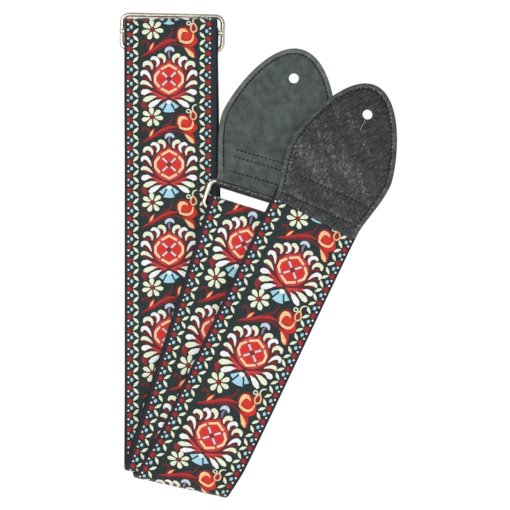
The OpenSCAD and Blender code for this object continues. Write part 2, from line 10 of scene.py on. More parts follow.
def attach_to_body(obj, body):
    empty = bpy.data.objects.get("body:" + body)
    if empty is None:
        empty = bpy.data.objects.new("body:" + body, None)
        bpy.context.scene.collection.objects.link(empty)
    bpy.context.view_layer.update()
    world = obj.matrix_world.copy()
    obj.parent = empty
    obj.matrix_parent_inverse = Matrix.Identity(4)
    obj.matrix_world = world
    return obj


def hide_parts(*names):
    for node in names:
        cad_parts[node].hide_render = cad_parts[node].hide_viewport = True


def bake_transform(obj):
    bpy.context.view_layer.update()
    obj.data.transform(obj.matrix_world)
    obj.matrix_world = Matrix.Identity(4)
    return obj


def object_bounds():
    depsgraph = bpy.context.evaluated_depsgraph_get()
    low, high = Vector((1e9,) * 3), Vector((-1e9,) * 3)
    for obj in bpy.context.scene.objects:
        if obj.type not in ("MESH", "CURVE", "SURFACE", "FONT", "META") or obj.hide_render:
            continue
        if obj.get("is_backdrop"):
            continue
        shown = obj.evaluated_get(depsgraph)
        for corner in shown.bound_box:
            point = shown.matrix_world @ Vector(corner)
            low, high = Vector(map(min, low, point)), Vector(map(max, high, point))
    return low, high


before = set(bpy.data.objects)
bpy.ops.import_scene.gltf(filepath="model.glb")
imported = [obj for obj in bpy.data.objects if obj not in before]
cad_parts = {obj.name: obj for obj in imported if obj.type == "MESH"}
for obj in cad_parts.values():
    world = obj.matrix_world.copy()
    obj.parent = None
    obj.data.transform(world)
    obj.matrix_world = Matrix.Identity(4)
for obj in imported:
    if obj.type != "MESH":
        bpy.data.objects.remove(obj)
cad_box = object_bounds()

MM = 0.001

# Tape, in millimetres like every size below
TAPE_W = 50.8
WEBBING_T = 1.2
RIBBON_T = 0.5
RIBBON_INSET = 0.6
LAYER_GAP = 0.3
TIGHT_FOLD_R = 0.5

# Lay of the folded strap
OUTER_FOLD = np.array([-39.7, -122.9])
FRONT_TILT = 26.1
BACK_TILT = -0.95
LEFT_TILT = 0.0
MIDDLE_TILT = 17.3
RETURN_TILT = 0.35
FRONT_RUN_L = 159.3
BACK_RUN_L = 245.8
UNDER_RUN_L = 147.1
FOLD_MARGIN = 0.4
FRONT_BOW = 1.4
FRONT_BOW_FROM = 20.0
FRONT_RISE_FROM = 8.0
FRONT_RISE_L = 90.0
RAMP_L = 43.0

# Ring
RING_WIRE_R = 1.25
RING_BAR_GAP = 15.0
RING_PLAY = 0.2
RING_SLACK = 3.9
RING_RISE_L = 45.0
RING_FLAT_L = 6.0

# Slider
SLIDER_WIRE_R = 1.4
SLIDER_BAR_GAP = 18.6
SLIDER_DROP = 2.75
SLIDER_TILT = 1.2
SLIDER_SHIFT = 0.5
TAIL_L = 22.0
TAIL_STEP_L = 10.0
SLIDER_TRAVEL = 20.0
SEAM_GAP = 0.1

# Leather tabs
FACE_T = 1.4
LINING_T = 1.0
TAB_BASE_W = 49.2
FRONT_TAB_WIDE_W = 60.0
REAR_TAB_WIDE_W = 64.5
FRONT_TAB_L = 79.6
FRONT_TAB_DROP = 3.0
REAR_TAB_L = 83.5
TAB_NOSE_L = 46.5
NOSE_POWER = 1.32
SIDE_POWER = 1.6
FRONT_TAB_TILT = 24.6
FRONT_TAB_SHIFT = 0.8
REAR_TAB_TURN = 1.0
FRONT_TAB_SLOPE = 6.5
TAB_CLEAR = 0.5
TUCK_L = 20.0
TUCK_SPARE = 1.0
FLAP_L = 22.0
PINCH_L = 6.0
LINING_STEP_L = 5.0
BUTTON_HOLE_R = 2.75
BUTTON_HOLE_IN = 16.6
FRONT_HOLE_SHIFT = 2.4
SLIT_L = 7.4
FRONT_SLIT_OPEN = 0.14
REAR_SLIT_OPEN = 0.03
RIM_W = 2.3
REAR_PLATE_DROP = 1 / 3

# Stitching
STITCH_INSET = 3.0
STITCH_PITCH = 2.3
STITCH_L = 1.5
THREAD_T = 0.5
FRONT_ROWS = (4.5, 17.0)
REAR_ROWS = (PINCH_L + 1.8, FLAP_L - 6.0, FLAP_L - 2.0)
TAIL_ROWS = (2.0, 6.0)


def ahead(tilt):
    """Plan direction for a tilt in degrees to the right of straight up."""
    return np.array([math.sin(math.radians(tilt)), math.cos(math.radians(tilt))])


def across(tilt):
    return np.array([math.cos(math.radians(tilt)), -math.sin(math.radians(tilt))])


def ease(t):
    t = np.clip(t, 0, 1)
    return t * t * (3 - 2 * t)


def mix(a, b, t):
    return a + (b - a) * t


def tan(degrees):
    return math.tan(math.radians(degrees))


# Heights of the layers, at the face between webbing and ribbon
TAPE_T = WEBBING_T + RIBBON_T
LAYER = TAPE_T + LAYER_GAP
FOLD_Z = 2 * LAYER + TAPE_T + TIGHT_FOLD_R
BACK_Z = RIBBON_T
RETURN_Z = LAYER + RIBBON_T
LEFT_Z = 2 * LAYER + WEBBING_T
UNDER_Z = FOLD_Z + TIGHT_FOLD_R + RIBBON_T
MIDDLE_Z = FOLD_Z + TIGHT_FOLD_R + LAYER + WEBBING_T
FRONT_Z = MIDDLE_Z + LAYER
INNER_FOLD_R = TIGHT_FOLD_R + RIBBON_T
MIDDLE_FOLD_R = MIDDLE_Z - FOLD_Z
OUTER_FOLD_R = FRONT_Z - FOLD_Z

SLIDER_BACK_Z = 2 * SLIDER_WIRE_R + 2 * SEAM_GAP + RIBBON_T
SLIDER_LOOP_R = SLIDER_WIRE_R + SEAM_GAP + WEBBING_T
SLIDER_LOOP_Z = SLIDER_BACK_Z + LAYER
MID_BAR_Z = SLIDER_LOOP_Z + SLIDER_LOOP_R
SLIDER_TAIL_Z = SLIDER_LOOP_Z + 2 * WEBBING_T + SEAM_GAP
SLIDER_LEFT_Z = MID_BAR_Z + SLIDER_LOOP_R + LAYER
TOP_FOLD_Z = (SLIDER_BACK_Z + SLIDER_LEFT_Z) / 2
TOP_FOLD_R = (SLIDER_LEFT_Z - SLIDER_BACK_Z) / 2

RING_LOOP_R = RING_WIRE_R + RING_PLAY + WEBBING_T
RING_Z = UNDER_Z + RING_LOOP_R
RING_MIDDLE_Z = RING_Z + RING_LOOP_R
LEATHER_LOOP_R = RING_WIRE_R + RING_PLAY
LEATHER_LOOP_OUT_R = LEATHER_LOOP_R + FACE_T
FRONT_HIGH_Z = WEBBING_T + max(
    RING_Z + LEATHER_LOOP_OUT_R + TAB_CLEAR + LINING_T,
    RING_MIDDLE_Z + RIBBON_T + LAYER_GAP,
)

# Plan places, following the tape from the front tab to its sewn end
OUTER_FOLD_A = (FRONT_TILT + BACK_TILT) / 2
BACK_P = OUTER_FOLD - across(OUTER_FOLD_A) * OUTER_FOLD_R * math.pi * tan(FRONT_TILT - OUTER_FOLD_A)
BACK_TOP_P = BACK_P + ahead(BACK_TILT) * BACK_RUN_L
TOP_FOLD_A = (BACK_TILT + LEFT_TILT) / 2
LEFT_TOP_P = BACK_TOP_P - across(TOP_FOLD_A) * TOP_FOLD_R * math.pi * tan(LEFT_TILT - TOP_FOLD_A)
UNDER_TILT = MIDDLE_TILT + RETURN_TILT - LEFT_TILT
INNER_FOLD_A = (UNDER_TILT + LEFT_TILT) / 2
FOLD_NEST = TAPE_W / 2 * (tan(OUTER_FOLD_A) - tan(INNER_FOLD_A)) + LAYER_GAP + FOLD_MARGIN
LEFT_RUN_L = (LEFT_TOP_P - OUTER_FOLD) @ ahead(OUTER_FOLD_A) / math.cos(math.radians(OUTER_FOLD_A))
LEFT_RUN_L -= FOLD_NEST
LEFT_P = LEFT_TOP_P - ahead(LEFT_TILT) * LEFT_RUN_L
UNDER_P = LEFT_P + across(INNER_FOLD_A) * INNER_FOLD_R * math.pi * tan(UNDER_TILT - INNER_FOLD_A)
RING_TILT = (UNDER_TILT + MIDDLE_TILT) / 2
RING_LOOP_P = UNDER_P + ahead(UNDER_TILT) * UNDER_RUN_L
MIDDLE_RUN_L = (RING_LOOP_P - LEFT_P) @ ahead(INNER_FOLD_A)
MIDDLE_RUN_L /= ahead(MIDDLE_TILT) @ ahead(INNER_FOLD_A)
MIDDLE_P = RING_LOOP_P - ahead(MIDDLE_TILT) * MIDDLE_RUN_L
MIDDLE_SKEW = (MIDDLE_TILT - RETURN_TILT) / 2
RETURN_P = MIDDLE_P - across(INNER_FOLD_A) * MIDDLE_FOLD_R * math.pi * tan(MIDDLE_SKEW)
RING_LOW_P = RING_LOOP_P - ahead(RING_TILT) * RING_SLACK
RING_HIGH_P = RING_LOW_P + ahead(RING_TILT) * RING_BAR_GAP
SLIDER_P = BACK_TOP_P - ahead(BACK_TILT) * SLIDER_DROP + across(BACK_TILT) * SLIDER_SHIFT
LOOP_END_P = SLIDER_P - ahead(SLIDER_TILT) * TAIL_L
LEAD_CLEAR = TAPE_W / 2 * tan(SLIDER_TILT) + LAYER_GAP
RETURN_RUN_L = LOOP_END_P[1] - SLIDER_TRAVEL - LEAD_CLEAR - RETURN_P[1]
RETURN_RUN_L /= math.cos(math.radians(RETURN_TILT))
LEAD_P = RETURN_P + ahead(RETURN_TILT) * RETURN_RUN_L
LEAD_L = float(np.linalg.norm(LOOP_END_P - LEAD_P))
RAMP_TOP_Y = SLIDER_P[1] - SLIDER_BAR_GAP / 2 - 2 * SLIDER_WIRE_R - SLIDER_TRAVEL
FRONT_BASE_P = OUTER_FOLD + ahead(FRONT_TILT) * FRONT_RUN_L


def climb(low, high):
    """Height of a run that climbs to the slider, from the distance along it and the plan Y."""
    return lambda s, y: mix(low, high, ease((y - RAMP_TOP_Y + RAMP_L) / RAMP_L))


def level(z):
    return lambda s, y: np.full(len(s), z)


def front_bow(s):
    """Sideways bow of the front run, from the end of its tuck."""
    u = FRONT_RUN_L + TUCK_L - s
    fall = ease((u - FRONT_BOW_FROM) / (FRONT_RUN_L - FRONT_BOW_FROM))
    return FRONT_BOW * ease(u / FRONT_BOW_FROM) * (1 - fall)


def straight(s):
    return np.zeros(len(s))


def front_height(s, y):
    """The front run, measured from the end of its tuck inside the front tab."""
    u = FRONT_RUN_L + TUCK_L - s
    run = mix(FRONT_Z, FRONT_HIGH_Z, ease((u - FRONT_RISE_FROM) / FRONT_RISE_L))
    return run - np.clip(u - FRONT_RUN_L, 0, None) * tan(FRONT_TAB_SLOPE)


def middle_height(s, y):
    return mix(RING_MIDDLE_Z, MIDDLE_Z, ease((s - RING_FLAT_L) / (RING_RISE_L - RING_FLAT_L)))


def tail_height(s, y):
    return mix(MID_BAR_Z + SLIDER_LOOP_R, SLIDER_TAIL_Z, ease(s / TAIL_STEP_L))


class Run:
    """A flat stretch of tape from a start point, with its pattern up (1) or down (-1)."""

    def __init__(self, name, start, along, tilt, length, height, up, bow=straight):
        self.name, self.start, self.along, self.bow = name, start, along, bow
        self.side, self.length, self.height, self.up = across(tilt), length, height, up

    def place(self, s, x):
        plan = self.start + np.outer(s, self.along) + np.outer(x + self.bow(s), self.side)
        normal = np.tile([0.0, 0.0, self.up], (len(s), 1))
        return np.column_stack([plan, self.height(s, plan[:, 1])]), normal


class Bend:
    """A half turn about a level axis, entered by a run whose sense is 1 up or -1 down the strap."""

    def __init__(self, name, start, tilt, fold_tilt, sense, axis_z, radius, down, outside):
        self.name, self.start, self.axis_z, self.radius = name, start, axis_z, radius
        self.skew = math.radians(tilt - fold_tilt)
        self.sense, self.down, self.outside = sense, down, outside
        self.axis, self.out = across(fold_tilt), sense * ahead(fold_tilt)
        self.length = math.pi * radius / math.cos(self.skew)

    def turned(self, s, x):
        """Distance past the first crease, round the bend."""
        return s * math.cos(self.skew) - self.sense * x * math.sin(self.skew)

    def place(self, s, x):
        t = self.turned(s, x) / self.radius
        shift = self.sense * s * math.sin(self.skew) + x * math.cos(self.skew)
        plan = self.start + np.outer(shift, self.axis) + np.outer(self.radius * np.sin(t), self.out)
        z = self.axis_z + self.down * self.radius * np.cos(t)
        normal = np.column_stack([np.outer(np.sin(t), self.out), self.down * np.cos(t)])
        return np.column_stack([plan, z]), self.outside * normal


class Tape:
    """The whole tape, laid out by s along it, x across it and e out of its pattern side."""

    def __init__(self, parts):
        self.parts = parts
        ends = np.cumsum([part.length for part in parts])
        self.begin = {part.name: end - part.length for part, end in zip(parts, ends)}
        self.end = {part.name: end for part, end in zip(parts, ends)}

    def within(self, i, s, x):
        """Which points lie before the end of part i."""
        part = self.parts[i]
        if isinstance(part, Bend):
            return part.turned(s - self.begin[part.name], x) <= math.pi * part.radius
        if i + 1 == len(self.parts):
            return np.full(len(s), True)
        after = self.parts[i + 1]
        from_next = s - self.begin[after.name]
        return after.turned(from_next, x) < 0 if isinstance(after, Bend) else from_next < 0

    def place(self, s, x, e):
        points = np.zeros((len(s), 3))
        todo = np.arange(len(s))
        for i, part in enumerate(self.parts):
            reached = self.within(i, s[todo], x[todo])
            here, todo = todo[reached], todo[~reached]
            point, normal = part.place(s[here] - self.begin[part.name], x[here])
            points[here] = point + normal * e[here, None]
        return points * MM


lead_along = (LOOP_END_P - LEAD_P) / LEAD_L
lead_tilt = (RETURN_TILT + SLIDER_TILT) / 2
return_height = climb(RETURN_Z, SLIDER_LOOP_Z)
tape = Tape([
    Run("front_run", FRONT_BASE_P + ahead(FRONT_TILT) * TUCK_L, -ahead(FRONT_TILT), FRONT_TILT,
        FRONT_RUN_L + TUCK_L, front_height, 1, front_bow),
    Bend("front_fold", OUTER_FOLD, FRONT_TILT, OUTER_FOLD_A, -1, FOLD_Z, OUTER_FOLD_R, 1, 1),
    Run("back_run", BACK_P, ahead(BACK_TILT), BACK_TILT, BACK_RUN_L, climb(BACK_Z, SLIDER_BACK_Z), -1),
    Bend("top_fold", BACK_TOP_P, BACK_TILT, TOP_FOLD_A, 1, TOP_FOLD_Z, TOP_FOLD_R, -1, 1),
    Run("left_run", LEFT_TOP_P, -ahead(LEFT_TILT), LEFT_TILT, LEFT_RUN_L, climb(LEFT_Z, SLIDER_LEFT_Z), 1),
    Bend("inner_fold", LEFT_P, LEFT_TILT, INNER_FOLD_A, -1, FOLD_Z, INNER_FOLD_R, -1, -1),
    Run("under_run", UNDER_P, ahead(UNDER_TILT), UNDER_TILT, UNDER_RUN_L, level(UNDER_Z), -1),
    Bend("ring_loop", RING_LOOP_P, RING_TILT, RING_TILT, 1, RING_Z, RING_LOOP_R, -1, 1),
    Run("middle_run", RING_LOOP_P, -ahead(MIDDLE_TILT), MIDDLE_TILT, MIDDLE_RUN_L, middle_height, 1),
    Bend("middle_fold", MIDDLE_P, MIDDLE_TILT, INNER_FOLD_A, -1, FOLD_Z, MIDDLE_FOLD_R, 1, 1),
    Run("return_run", RETURN_P, ahead(RETURN_TILT), RETURN_TILT, RETURN_RUN_L, return_height, -1),
    Run("return_lead", LEAD_P, lead_along, lead_tilt, LEAD_L, return_height, -1),
    Run("loop_low", LOOP_END_P, ahead(SLIDER_TILT), SLIDER_TILT, TAIL_L, level(SLIDER_LOOP_Z), -1),
    Bend("loop_bend", SLIDER_P, SLIDER_TILT, SLIDER_TILT, 1, MID_BAR_Z, SLIDER_LOOP_R, -1, 1),
    Run("loop_tail", SLIDER_P, -ahead(SLIDER_TILT), SLIDER_TILT, TAIL_L, tail_height, 1),
])


def srgb(red, green, blue, alpha=1.0):
    """A colour as seen on screen, from 0 to 255, as the linear values that shaders take."""
    def linear(c):
        c /= 255
        return c / 12.92 if c <= 0.04045 else ((c + 0.055) / 1.055) ** 2.4
    return (linear(red), linear(green), linear(blue), alpha)


class Shader:
    """A Principled material with helpers that add its procedural detail."""

    def __init__(self, name, roughness, **sockets):
        self.material = bpy.data.materials.new(name)
        self.material.use_nodes = True
        self.tree = self.material.node_tree
        self.bsdf = self.tree.nodes["Principled BSDF"]
        self.bsdf.inputs["Roughness"].default_value = roughness
        for socket, value in sockets.items():
            self.bsdf.inputs[socket.replace("_", " ")].default_value = value
        self.coordinates = self.tree.nodes.new("ShaderNodeTexCoord")

    def node(self, kind, **values):
        node = self.tree.nodes.new(kind)
        for name, value in values.items():
            if name in node.inputs:
                node.inputs[name].default_value = value
            else:
                setattr(node, name, value)
        return node

    def link(self, source, target):
        self.tree.links.new(source, target)

    def noise(self, scale, detail=3.0, space="Object"):
        noise = self.node("ShaderNodeTexNoise", Scale=scale, Detail=detail)
        self.link(self.coordinates.outputs[space], noise.inputs["Vector"])
        return noise.outputs["Fac"]

    def cells(self, scale, feature="DISTANCE_TO_EDGE", space="Object"):
        cells = self.node("ShaderNodeTexVoronoi", Scale=scale, feature=feature)
        self.link(self.coordinates.outputs[space], cells.inputs["Vector"])
        return cells.outputs["Distance"]

    def ribs(self, direction, scale):
        """Even ridges across the tape (Y) or along it (X), in the tape's own coordinates."""
        wave = self.node("ShaderNodeTexWave", Scale=scale, bands_direction=direction, Distortion=0.6)
        self.link(self.coordinates.outputs["UV"], wave.inputs["Vector"])
        return wave.outputs["Fac"]

    def ramp(self, source, low, high, dark, light):
        ramp = self.node("ShaderNodeValToRGB")
        ramp.color_ramp.elements[0].position, ramp.color_ramp.elements[1].position = low, high
        ramp.color_ramp.elements[0].color, ramp.color_ramp.elements[1].color = dark, light
        self.link(source, ramp.inputs["Fac"])
        return ramp.outputs["Color"]

    def ridges(self, source, width):
        """Lines along a texture's middle contours, 1 on them and 0 beside them."""
        ramp = self.node("ShaderNodeValToRGB")
        stops = ramp.color_ramp.elements
        stops.new(0.5)
        for stop, place, value in zip(stops, (0.5 - width, 0.5, 0.5 + width), (0.0, 1.0, 0.0)):
            stop.position, stop.color = place, (value, value, value, 1.0)
        self.link(source, ramp.inputs["Fac"])
        return ramp.outputs["Color"]

    def colour(self, source, dark, light, low=0.35, high=0.65):
        self.link(self.ramp(source, low, high, dark, light), self.bsdf.inputs["Base Color"])

    def bump(self, *layers):
        """Stacked bump layers, each (height, strength, distance in metres)."""
        normal = None
        for height, strength, distance in layers:
            bump = self.node("ShaderNodeBump", Strength=strength, Distance=distance)
            self.link(height, bump.inputs["Height"])
            if normal:
                self.link(normal, bump.inputs["Normal"])
            normal = bump.outputs["Normal"]
        self.link(normal, self.bsdf.inputs["Normal"])


def shade(colour, factor):
    return tuple(c * factor for c in colour[:3]) + (1.0,)


# A wave texture turns this many radians in a unit at scale 1; one turn makes one thread
WAVE_RADIANS = 20
THREAD_PITCH = 0.45
THREAD_WAVES = 2 * math.pi / WAVE_RADIANS / THREAD_PITCH


def woven(name, colour, roughness=0.7, contrast=0.72, depth=0.35):
    """Cloth of fine threads that lie across the tape."""
    shader = Shader(name, roughness, Sheen_Weight=0.15, Specular_IOR_Level=0.25)
    shader.colour(shader.noise(900.0), shade(colour, contrast), colour)
    shader.bump(
        (shader.ribs("Y", THREAD_WAVES), depth, 0.00015),
        (shader.noise(2500.0, 2.0), 0.2, 0.0001),
    )
    return shader.material


PALETTE = {
    "red": srgb(178, 42, 38),
    "rose": srgb(196, 62, 58),
    "bright_red": srgb(214, 38, 32),
    "dark_red": srgb(112, 28, 36),
    "brick": srgb(140, 34, 38),
    "white": srgb(240, 240, 240),
    "straw": srgb(232, 236, 208),
    "cream": srgb(249, 210, 164),
    "peach": srgb(246, 196, 142),
    "orange": srgb(208, 48, 26),
    "blue": srgb(164, 212, 230),
    "ice": srgb(196, 214, 228),
    "lilac": srgb(146, 120, 156),
    "shell": srgb(234, 208, 216),
}
COLOURS = list(PALETTE)
thread_materials = [woven(f"thread_{name}", PALETTE[name], 0.6, 0.86) for name in COLOURS]
ground_material = woven("ribbon_ground", srgb(40, 53, 53), 0.8, 0.6)
edge_material = woven("ribbon_edge", srgb(42, 43, 55), 0.8, 0.7)
webbing_material = woven("webbing_black", srgb(30, 31, 36), 0.85, 0.6, 0.6)


def mesh_object(name, points, faces, materials, face_slots=None, uv=None, smooth=True):
    mesh = bpy.data.meshes.new(name)
    mesh.from_pydata([tuple(p) for p in points], [], faces)
    for material in materials:
        mesh.materials.append(material)
    if face_slots is not None:
        mesh.polygons.foreach_set("material_index", np.asarray(face_slots, dtype=np.int32))
    mesh.polygons.foreach_set("use_smooth", np.full(len(faces), smooth))
    if uv is not None:
        corner = np.zeros(len(mesh.loops), dtype=np.int32)
        mesh.loops.foreach_get("vertex_index", corner)
        layer = mesh.uv_layers.new(name="tape")
        layer.data.foreach_set("uv", np.asarray(uv, dtype=np.float32)[corner].ravel())
    mesh.update()
    obj = bpy.data.objects.new(name, mesh)
    bpy.context.scene.collection.objects.link(obj)
    return obj


def bands(first, rows, n):
    """The faces between rings of n points that follow one another from a first point."""
    return [(a + k, a + (k + 1) % n, a + n + (k + 1) % n, a + n + k)
            for a in range(first, first + (rows - 1) * n, n) for k in range(n)]


def capped(rows, n):
    """The faces of a closed tube of rings."""
    last = (rows - 1) * n
    return bands(0, rows, n) + [tuple(range(n)), tuple(range(last, last + n))]


# How a raised shape domes: (way in from its outline, share of its height) and (way across it, share)
BLOB_DOME = ((0.0, 0.0), (0.12, 0.75), (0.55, 1.0))
STROKE_DOME = ((-0.5, 0.0), (-0.3, 0.85), (0.0, 1.0), (0.3, 0.85), (0.5, 0.0))


class Shapes:
    """Raised thread shapes of one pattern repeat: x across, y up the pattern, h off the ground."""

    def __init__(self):
        self.items = []

    def add(self, colour, points, faces):
        self.items.append((COLOURS.index(colour), np.array(points, dtype=float), faces))

    def blob(self, colour, outline, lift):
        """A rounded filled shape, domed from its outline to its middle."""
        outline = np.array(outline, dtype=float)
        n = len(outline)
        middle = outline.mean(axis=0)
        points = []
        for inward, h in BLOB_DOME:
            ring = mix(outline, middle, inward)
            points += [(x, y, h * lift) for x, y in ring]
        points.append((middle[0], middle[1], lift))
        cap = [(2 * n + i, 2 * n + (i + 1) % n, 3 * n) for i in range(n)]
        self.add(colour, points, bands(0, len(BLOB_DOME), n) + cap)

    def oval(self, colour, centre, half_x, half_y, lift, sides=10, tilt=0.0):
        turn = np.radians(tilt)
        angles = [2 * math.pi * i / sides for i in range(sides)]
        outline = []
        for a in angles:
            x, y = half_x * math.cos(a), half_y * math.sin(a)
            outline.append((centre[0] + x * math.cos(turn) - y * math.sin(turn),
                            centre[1] + x * math.sin(turn) + y * math.cos(turn)))
        self.blob(colour, outline, lift)

    def stroke(self, colour, path, widths, lift, steps=4, curved=True):
        """A band along a path, domed across, with a width at each point of the path."""
        path = np.array(path, dtype=float)
        if curved and len(path) > 2:
            path, widths = smooth_path(path, widths, steps)
        widths = np.array(widths, dtype=float)
        heading = np.gradient(path, axis=0)
        heading /= np.linalg.norm(heading, axis=1)[:, None]
        side = np.column_stack([heading[:, 1], -heading[:, 0]])
        points, faces = [], []
        for reach, h in STROKE_DOME:
            edge = path + side * (widths * reach)[:, None]
            points += [(x, y, h * lift) for x, y in edge]
        n = len(path)
        for column in range(len(STROKE_DOME) - 1):
            a, b = column * n, column * n + n
            faces += [(a + i, b + i, b + i + 1, a + i + 1) for i in range(n - 1)]
        self.add(colour, points, faces)


def curve_point(p0, p1, p2, p3, t):
    """A point on the smooth curve from p1 to p2, at t from 0 to 1, between the points either side."""
    return 0.5 * (2 * p1 + (p2 - p0) * t + (2 * p0 - 5 * p1 + 4 * p2 - p3) * t ** 2
                  + (3 * p1 - p0 - 3 * p2 + p3) * t ** 3)


def smooth_path(path, widths, steps):
    """A curve through the points of a path, with its widths eased between them."""
    ends = np.vstack([2 * path[0] - path[1], path, 2 * path[-1] - path[-2]])
    curve, eased = [], []
    for i in range(len(path) - 1):
        for t in np.linspace(0, 1, steps, endpoint=False):
            curve.append(curve_point(*ends[i:i + 4], t))
            eased.append(mix(widths[i], widths[i + 1], t))
    return np.vstack([curve, path[-1]]), eased + [widths[-1]]


def smooth_loop(points, steps=3):
    """A rounded closed outline through the points."""
    p = np.array(points, dtype=float)
    n = len(p)
    return [curve_point(p[i - 1], p[i], p[(i + 1) % n], p[(i + 2) % n], t)
            for i in range(n) for t in np.linspace(0, 1, steps, endpoint=False)]


def both_ways(points):
    """The same points and their mirror image across the pattern's middle line."""
    return [points, [(-x, y) for x, y in points]]


def polar(angle, radius):
    """A point at an angle in degrees clockwise from the top of the medallion."""
    return (radius * math.sin(math.radians(angle)), radius * math.cos(math.radians(angle)))


# Pattern, in millimetres about a medallion's middle, one repeat long
REPEAT = 50.3
BORDER_PITCH = REPEAT / 6
MEDALLION_HALF = 10.0
LOW, MID, HIGH = 0.10, 0.15, 0.20


def medallion(shapes):
    half = [(0, 11.2), (1.8, 9.2), (5.4, 7.9), (8.6, 4.0), (9.2, 0), (8.6, -4.2), (5.6, -7.8), (2.0, -9.6)]
    base = smooth_loop(half + [(-x, y) for x, y in reversed(half[1:])])
    shapes.blob("dark_red", [(1.08 * x, 1.06 * y) for x, y in base], 0.8 * LOW)
    shapes.blob("rose", base, LOW)
    for sign in (-1, 1):
        band = [(-4.3, 5.2 * sign), (0, 7.6 * sign), (4.3, 5.2 * sign)]
        shapes.stroke("cream", band, (1.5, 1.7, 1.5), HIGH, curved=False)
    for side in both_ways([(5.1, 4.4), (7.5, 1.6), (7.5, -1.6), (5.1, -4.4)]):
        shapes.stroke("cream", side, (1.5, 1.7, 1.7, 1.5), HIGH, curved=False)
    for x, y in ((0, 4.2), (4.2, 0), (0, -4.2), (-4.2, 0)):
        shapes.blob("bright_red", [(x + 2.7, y), (x, y + 2.5), (x - 2.7, y), (x, y - 2.5)], MID)
    for sx in (-1, 1):
        for sy in (-1, 1):
            shapes.stroke("dark_red", [(0.2 * sx, 0.2 * sy), (3.9 * sx, 3.8 * sy)], (1.9, 2.0), MID + 0.01)
            shapes.stroke("shell", [(1.0 * sx, 1.0 * sy), (3.6 * sx, 3.5 * sy)], (1.4, 1.7), HIGH)


def petals(shapes):
    """Commas round the top and sides of the medallion, and drops that fan out below it."""
    shapes.stroke("lilac", [(0.3, 15.8), (-0.1, 13.6), (0.5, 11.4)], (0.7, 1.2, 0.5), LOW)
    hood = [(-1.9, 14.7), (-1.4, 16.3), (0.2, 17.2), (1.8, 16.6), (2.6, 15.2)]
    shapes.stroke("ice", hood, (0.7, 1.7, 2.1, 1.8, 0.8), HIGH)
    commas = (
        ("straw", (1.3, 2.6, 2.3, 1.5, 0.5),
         [(5.9, 12.1), (4.8, 12.9), (3.1, 12.2), (2.4, 10.3), (2.9, 8.7)]),
        ("white", (1.0, 2.1, 2.2, 1.6, 0.5),
         [(9.9, 10.5), (8.4, 11.6), (6.4, 10.5), (5.9, 8.4), (6.9, 6.5)]),
        ("straw", (1.0, 2.1, 2.4, 1.7, 0.5),
         [(13.9, 6.6), (13.1, 8.4), (11.0, 8.7), (9.4, 7.2), (9.3, 5.0)]),
        ("white", (0.9, 2.1, 2.3, 1.5, 0.4),
         [(15.0, 1.6), (14.4, 3.5), (12.6, 3.6), (10.9, 1.8), (9.7, -1.0)]),
        ("straw", (1.1, 2.3, 2.2, 1.3, 0.4),
         [(15.3, -2.9), (14.1, -1.9), (12.2, -2.3), (10.4, -3.5), (9.0, -4.7)]),
    )
    for colour, widths, right in commas:
        for path in both_ways(right):
            head, tail = np.array(path[0]), np.array(path[-1])
            shapes.stroke("dark_red", [mix(head, tail, t) for t in (0.12, 0.55, 1.0)], (0.8, 2.1, 0.6), LOW)
            shapes.stroke(colour, path, widths, HIGH)
    root = (0.9, -10.4)
    drops = (
        ("white", [(15.1, -7.8), (13.7, -7.3), (11.7, -6.8), (9.6, -7.1)], (6.0, -8.6)),
        ("straw", [(13.9, -12.2), (12.2, -11.4), (9.4, -10.2), (6.8, -9.6)], (4.2, -9.7)),
        ("white", [(10.9, -16.0), (9.0, -14.5), (6.5, -12.7), (4.3, -11.5)], (2.6, -10.8)),
    )
    for colour, right, bend in drops:
        for path in both_ways(right):
            sign = math.copysign(1, path[0][0])
            tail = [mix(np.array(path[1]), np.array(path[2]), 0.8), path[3], (bend[0] * sign, bend[1]),
                    (root[0] * sign, root[1])]
            shapes.stroke("dark_red", tail, (1.4, 2.6, 2.3, 1.2), 0.8 * LOW)
            shapes.stroke("rose", tail, (0.9, 1.7, 1.4, 0.7), LOW)
            shapes.stroke(colour, path, (1.4, 3.2, 2.4, 0.5), HIGH)


def fan(shapes):
    """Pale blue leaves below the medallion."""
    for low, high, far in ((-48, -27, 7.4), (-21, 21, 8.8), (27, 48, 7.4)):
        rim = [polar(180 + mix(low, high, t), far) for t in (0, 0.25, 0.5, 0.75, 1)]
        neck = [polar(180 + mix(low, high, t), 3.0) for t in (0.8, 0.2)]
        shapes.blob("blue", [(x, y - 10.6) for x, y in rim + neck], MID)
    shapes.oval("white", (0, -13.0), 1.7, 1.3, HIGH)


def daisy(shapes):
    middle = np.array([-9.1, -22.3])
    for k in range(7):
        ray = np.array(polar(360 * k / 7 - 6, 1))
        shapes.stroke("straw", [middle + ray * r for r in (1.5, 3.0, 4.6, 5.9)], (0.7, 2.0, 2.8, 1.4), HIGH)
        shapes.stroke("brick", [middle, middle + ray * 2.8], (0.9, 0.4), LOW)
    shapes.oval("brick", middle, 0.8, 0.8, MID, 8)
    leaf = [(-14.0, -12.4), (-13.6, -14.2), (-13.1, -16.0), (-12.2, -17.8)]
    shapes.stroke("brick", leaf, (1.8, 3.4, 2.4, 0.6), MID)


